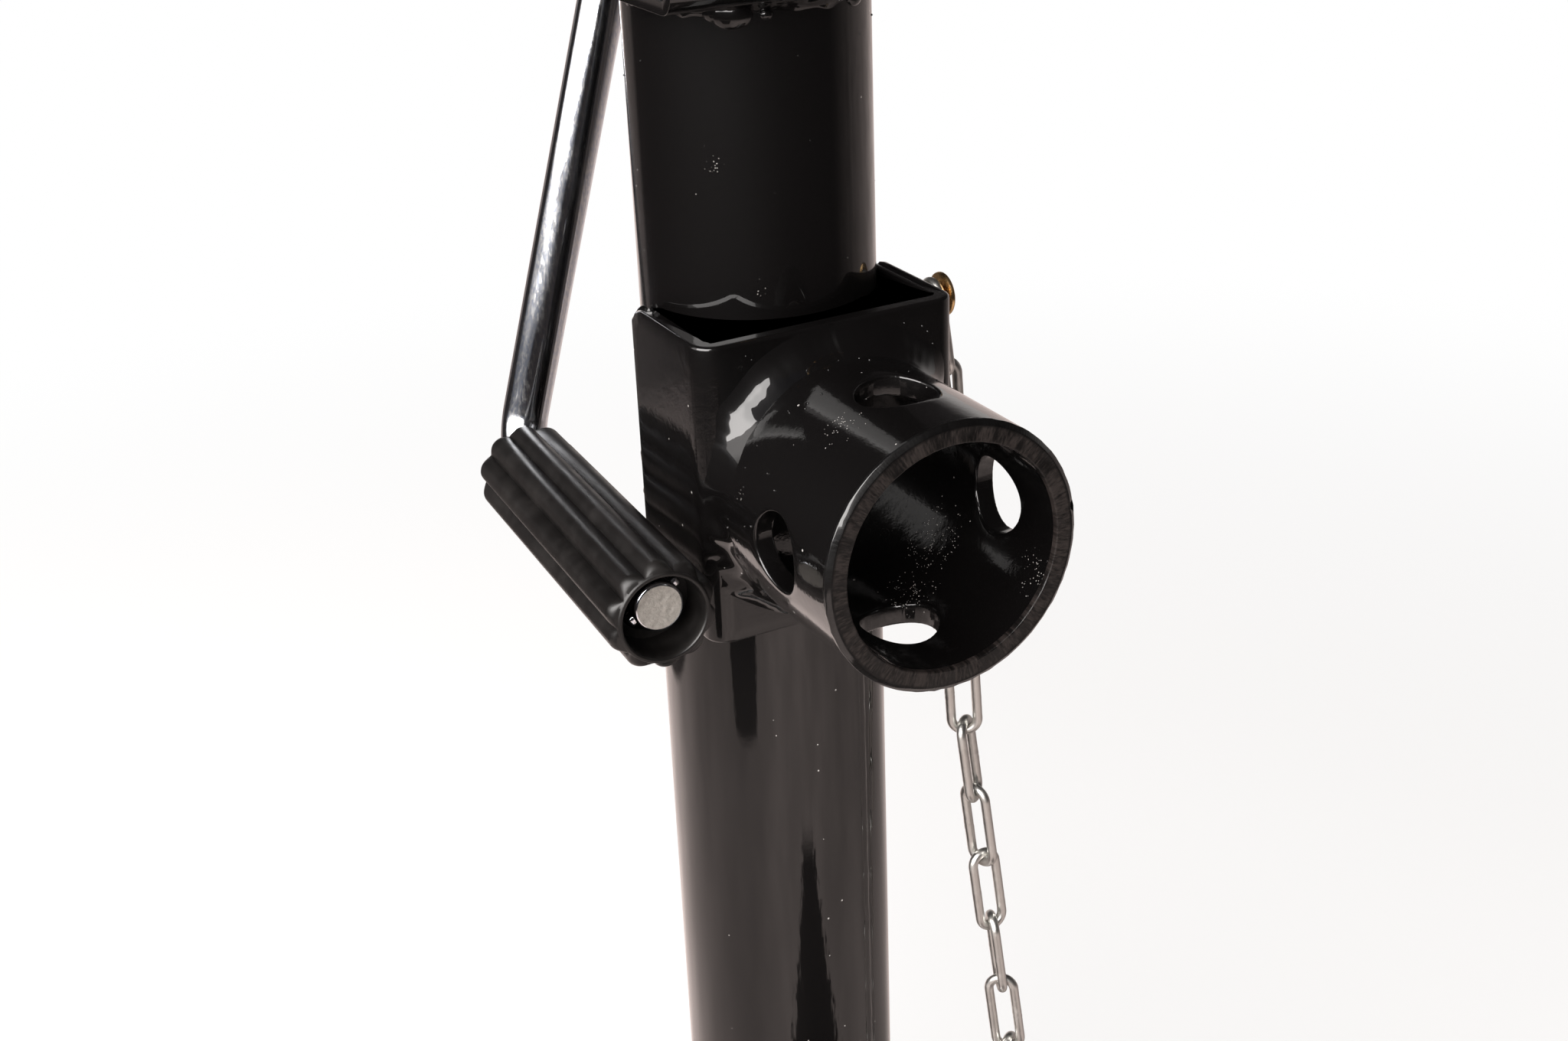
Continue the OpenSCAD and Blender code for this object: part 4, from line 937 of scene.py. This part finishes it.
def add_grip():
    """Ten broad lobes round a hollow sleeve: the radius falls from a lobe's crest to the valley as a
    power of the distance from the crest, so the valleys are narrow. Each lobe ends in a round tip
    a little before the plain rim, and the end is open on the rod."""
    _, across, _, _, _, middle, axis = crank_frame()
    side = unit(across - (across @ axis) * axis)
    other = np.cross(axis, side)
    start, end, outer, depth = -42.0, 56.5, 13.2, 2.15
    count = 360
    turn = np.linspace(0, 2 * np.pi, count, endpoint=False)[:, None]
    off = ((turn + np.pi / 10) % (np.pi / 5) - np.pi / 10) / (np.pi / 10)
    valley = outer - depth
    lobe = outer - depth * np.abs(off + 0.06 * np.sin(np.pi * off)) ** 2.5
    edge = 0.6 * (1 - np.cos(np.linspace(0, np.pi / 2, 6)))
    t = np.concatenate([start + edge, np.linspace(start + 0.7, start + 6, 32),
                        np.linspace(start + 7, end - 7, 44),
                        np.linspace(end - 6, end - 0.7, 32), (end - edge)[::-1]])[None, :]
    tip = np.clip(np.minimum(t - start - 0.2, end - 0.5 - t) / 2.6, 0, 1)
    swell = np.sqrt(1 - (1 - tip) ** 2)
    r = valley + (lobe - valley) * swell + 0.05 * np.exp(-((t - 6.0) / 0.25) ** 2)
    past = np.clip(np.maximum(start + 0.6 - t, t - end + 0.6), 0, 0.6)
    r = r - (0.6 - np.sqrt(np.clip(0.36 - past ** 2, 0, None)))
    outside = np.stack([r * np.cos(turn), r * np.sin(turn), t + 0 * turn], axis=-1)
    inner = np.array([
        [10.2, end], [9.95, end - 0.15], [9.8, end - 0.6], [9.6, end - 10.9], [7.4, end - 11.0],
        [7.3, end - 14.0], [7.3, start + 5.0], [9.4, start + 0.2], [9.8, start],
    ])
    inside = np.stack([inner[None, :, 0] * np.cos(turn), inner[None, :, 0] * np.sin(turn),
                       inner[None, :, 1] + 0 * turn], axis=-1)
    points = np.concatenate([outside, inside], axis=1)
    shape = points.shape
    points = place(points.reshape(-1, 3), middle, side, other, axis).reshape(shape)
    build("grip_sleeve", [sheet_of(points, True, True)], "grip", "crank_grip", sharp=42)


def chain_links(node):
    """The frame of each link in a CAD node: middle, across, through and along, from how the skin of
    each closed solid is spread about its middle."""
    work = bmesh.new()
    work.from_mesh(frame["nodes"][node].data)
    bmesh.ops.remove_doubles(work, verts=work.verts, dist=0.001 * MM)
    left, links = set(work.faces), []
    while left:
        stack, found = [left.pop()], []
        while stack:
            face = stack.pop()
            found.append(face)
            for edge in face.edges:
                for other in edge.link_faces:
                    if other in left:
                        left.remove(other)
                        stack.append(other)
        centre = np.array([f.calc_center_median() for f in found]) / MM
        area = np.array([f.calc_area() for f in found])
        middle = area @ centre / area.sum()
        spread = (centre - middle).T @ ((centre - middle) * area[:, None])
        along, across = np.linalg.eigh(spread)[1][:, [2, 1]].T
        if along[2] > 0:
            along = -along
        links.append((middle, across, np.cross(along, across), along))
    work.free()
    return sorted(links, key=lambda link: -link[0][2])


def add_chain():
    """Each link is a round wire carried round a stadium: two straight sides joined by half circles.
    The wire is a little thicker and lumpy at the butt weld in the middle of one side."""
    wire, pitch, wide, gap = 1.3, 20.6, 9.6, 0.15
    bend = wide / 2 - wire
    straight = pitch + gap + 2 * wire - 2 * bend
    number = 0
    for node, body in (("chain_top", "chain_a"), ("chain_upper", "chain_b"), ("chain_middle", "chain_c"),
                       ("chain_lower", "chain_d")):
        parts = []
        for middle, across, through, along in chain_links(node):
            number += 1
            flip = 1 if number % 3 else -1
            s = np.linspace(-straight / 2, straight / 2, 34)
            t = np.linspace(0, np.pi, 22)[1:-1]
            path = np.concatenate([
                np.column_stack([np.full(34, bend), 0 * s, s]),
                np.column_stack([bend * np.cos(t), 0 * t, straight / 2 + bend * np.sin(t)]),
                np.column_stack([np.full(34, -bend), 0 * s, -s]),
                np.column_stack([-bend * np.cos(t), 0 * t, -straight / 2 - bend * np.sin(t)]),
            ])
            path[:, 0] *= flip
            tangent = unit(np.roll(path, -1, 0) - np.roll(path, 1, 0))
            flat = np.array([0.0, 1.0, 0.0])
            outward = np.cross(tangent, flat)
            turn = np.linspace(0, 2 * np.pi, 20, endpoint=False)[None, :]
            along_wire = np.arange(len(path))[:, None]
            near = np.exp(-((path[:, 2:3] - 0.6) / 1.1) ** 2) * (path[:, 0:1] * flip > 0)
            lump = 0.07 * near * (1 + 0.5 * waves(60 + number, turn * 1.2, along_wire * 0.3, low=0.3,
                                                  high=0.9))
            seam = -0.12 * np.exp(-((path[:, 2:3] - 0.6) / 0.22) ** 2) * (path[:, 0:1] * flip > 0)
            radius = (wire + lump + seam + 0.012 * waves(80 + number, along_wire * 0.12, turn * 0.5))[...,
                    None]
            ring = path[:,
                        None] + radius * (outward[:, None] * np.cos(turn)[...,
                                None] + flat * np.sin(turn)[..., None])
            shape = ring.shape
            parts.append(sheet_of(place(ring.reshape(-1, 3), middle, across, through, along).reshape(shape),
                                  True, True))
        build(node + "_links", parts, body, node, sharp=60)


def add_rivet():
    """A rivet through the bracket's side: profiles turned about its axis for the flat closing head,
    the washer, the shank and the low domed head with its rolled edge."""
    low, high = corners("chain_rivet")
    middle = (low + high) / 2
    seat = high[0] - 2.1
    inner, washer = low[0], BRACKET_X

    def turned(profile):
        grid = lathe(np.array(profile, float), 72)
        shape = grid.shape
        return sheet_of(place(grid.reshape(-1, 3), [0, middle[1], middle[2]], [0, 1, 0], [0, 0, 1],
                              [1, 0, 0]).reshape(shape), True, False)

    a = np.linspace(0, np.pi / 2, 7)
    r = (high[2] - low[2]) / 2
    dome = [[0.001, seat], [r - 0.5, seat], [r - 0.1, seat + 0.15]]
    dome += [[r - 0.45 + 0.45 * math.cos(k), seat + 0.6 + 0.45 * math.sin(k)] for k in a]
    dome += [[r - 1.1, seat + 1.25], [r - 1.6, seat + 1.75], [r * 0.55, seat + 2.02], [0.001, seat + 2.1]]
    shank = [[0.001, inner], [2.0, inner], [2.0, seat + 0.4], [0.001, seat + 0.4]]
    closing = [[0.001, inner], [2.7, inner], [3.1, inner + 0.35], [3.2, inner + 1.6], [0.001, inner + 1.6]]
    disc = [[0.001, washer], [3.9, washer], [4.0, washer + 0.1], [4.0, washer + 0.7], [3.9, washer + 0.8],
            [0.001, washer + 0.8]]
    build("chain_rivet_turned", [turned(p) for p in (dome, shank, closing, disc)], "frame", "chain_rivet",
          sharp=40)


def add_ring():
    """The split ring between the chain and the lock pin, as a round wire carried round a circle."""
    work = [np.array(v.co) / MM for v in frame["nodes"]["pin_ring"].data.vertices]
    points = np.array(work)
    middle = (points.min(0) + points.max(0)) / 2
    spread = (points - middle).T @ (points - middle)
    normal = np.linalg.eigh(spread)[1][:, 0]
    side = unit(np.cross(normal, [0, 0, 1.0]))
    up = np.cross(side, normal)
    t = np.linspace(0, 2 * np.pi, 72, endpoint=False)
    path = middle + 9.5 * (np.cos(t)[:, None] * side + np.sin(t)[:, None] * up)
    out = unit(path - middle)
    turn = np.linspace(0, 2 * np.pi, 20, endpoint=False)[None, :, None]
    ring = path[:, None] + 1.2 * (out[:, None] * np.cos(turn) + normal * np.sin(turn))
    build("ring_wire", [sheet_of(ring, True, True)], "ring", "pin_ring")


def add_foot_weld():
    """A lumpy fillet between the leg and the foot plate, laid out as a ring like the others."""
    low, high = corners("foot_weld")
    inner = corners("inner_tube")[1][0]
    count = 300
    turn = np.linspace(0, 2 * np.pi, count, endpoint=False)[:, None]
    v = np.linspace(0, 1, 13)[None, :]
    arc = turn * inner
    size = (high[0] - inner) * (0.9 + 0.10 * waves(91, arc / 14))
    tall = (high[2] - low[2]) * (0.86 + 0.13 * waves(92, arc / 12) + 0.05 * waves(93, arc / 3.5))
    push = 0.5 * np.sin(np.pi * v) * (1 + 0.5 * waves(94, arc / 4.0, v))
    r = inner - 0.05 + size * v + push * 0.4
    z = low[2] + tall * (1 - v) ** 1.1 + push * 0.3
    points = np.stack([r * np.cos(turn), r * np.sin(turn), z], axis=-1)
    back = np.stack([(inner - 0.5) * np.cos(turn), (inner - 0.5) * np.sin(turn), low[2] + 0 * turn], axis=-1)
    build("foot_weld_bead", [sheet_of(np.concatenate([points, back], axis=1), True, True)], "leg",
          "foot_weld", sharp=60)


add_outer_tube()
add_pipe_mount()
add_bracket()
add_mount_weld()
add_corner_run()
add_housing_weld()
add_side_welds()
add_spatter()
add_crank_arm()
add_grip()
add_chain()
add_rivet()
add_ring()
add_foot_weld()
for node, body, width in (
    ("gear_housing", "frame", 0.5), ("gear_cover", "frame", 0.4), ("cover_screws", "frame", 0.25),
    ("foot_plate", "leg", 0.7), ("inner_tube", "leg", 0.35), ("lock_pin", "pin", 0.4),
    ("fold_pin", "crank", 0.35),
    ("crank_shaft", "shaft", 0.35), ("rear_bushing", "frame", 0.3), ("front_bushing", "frame", 0.3),
):
    softened(node, body, width)
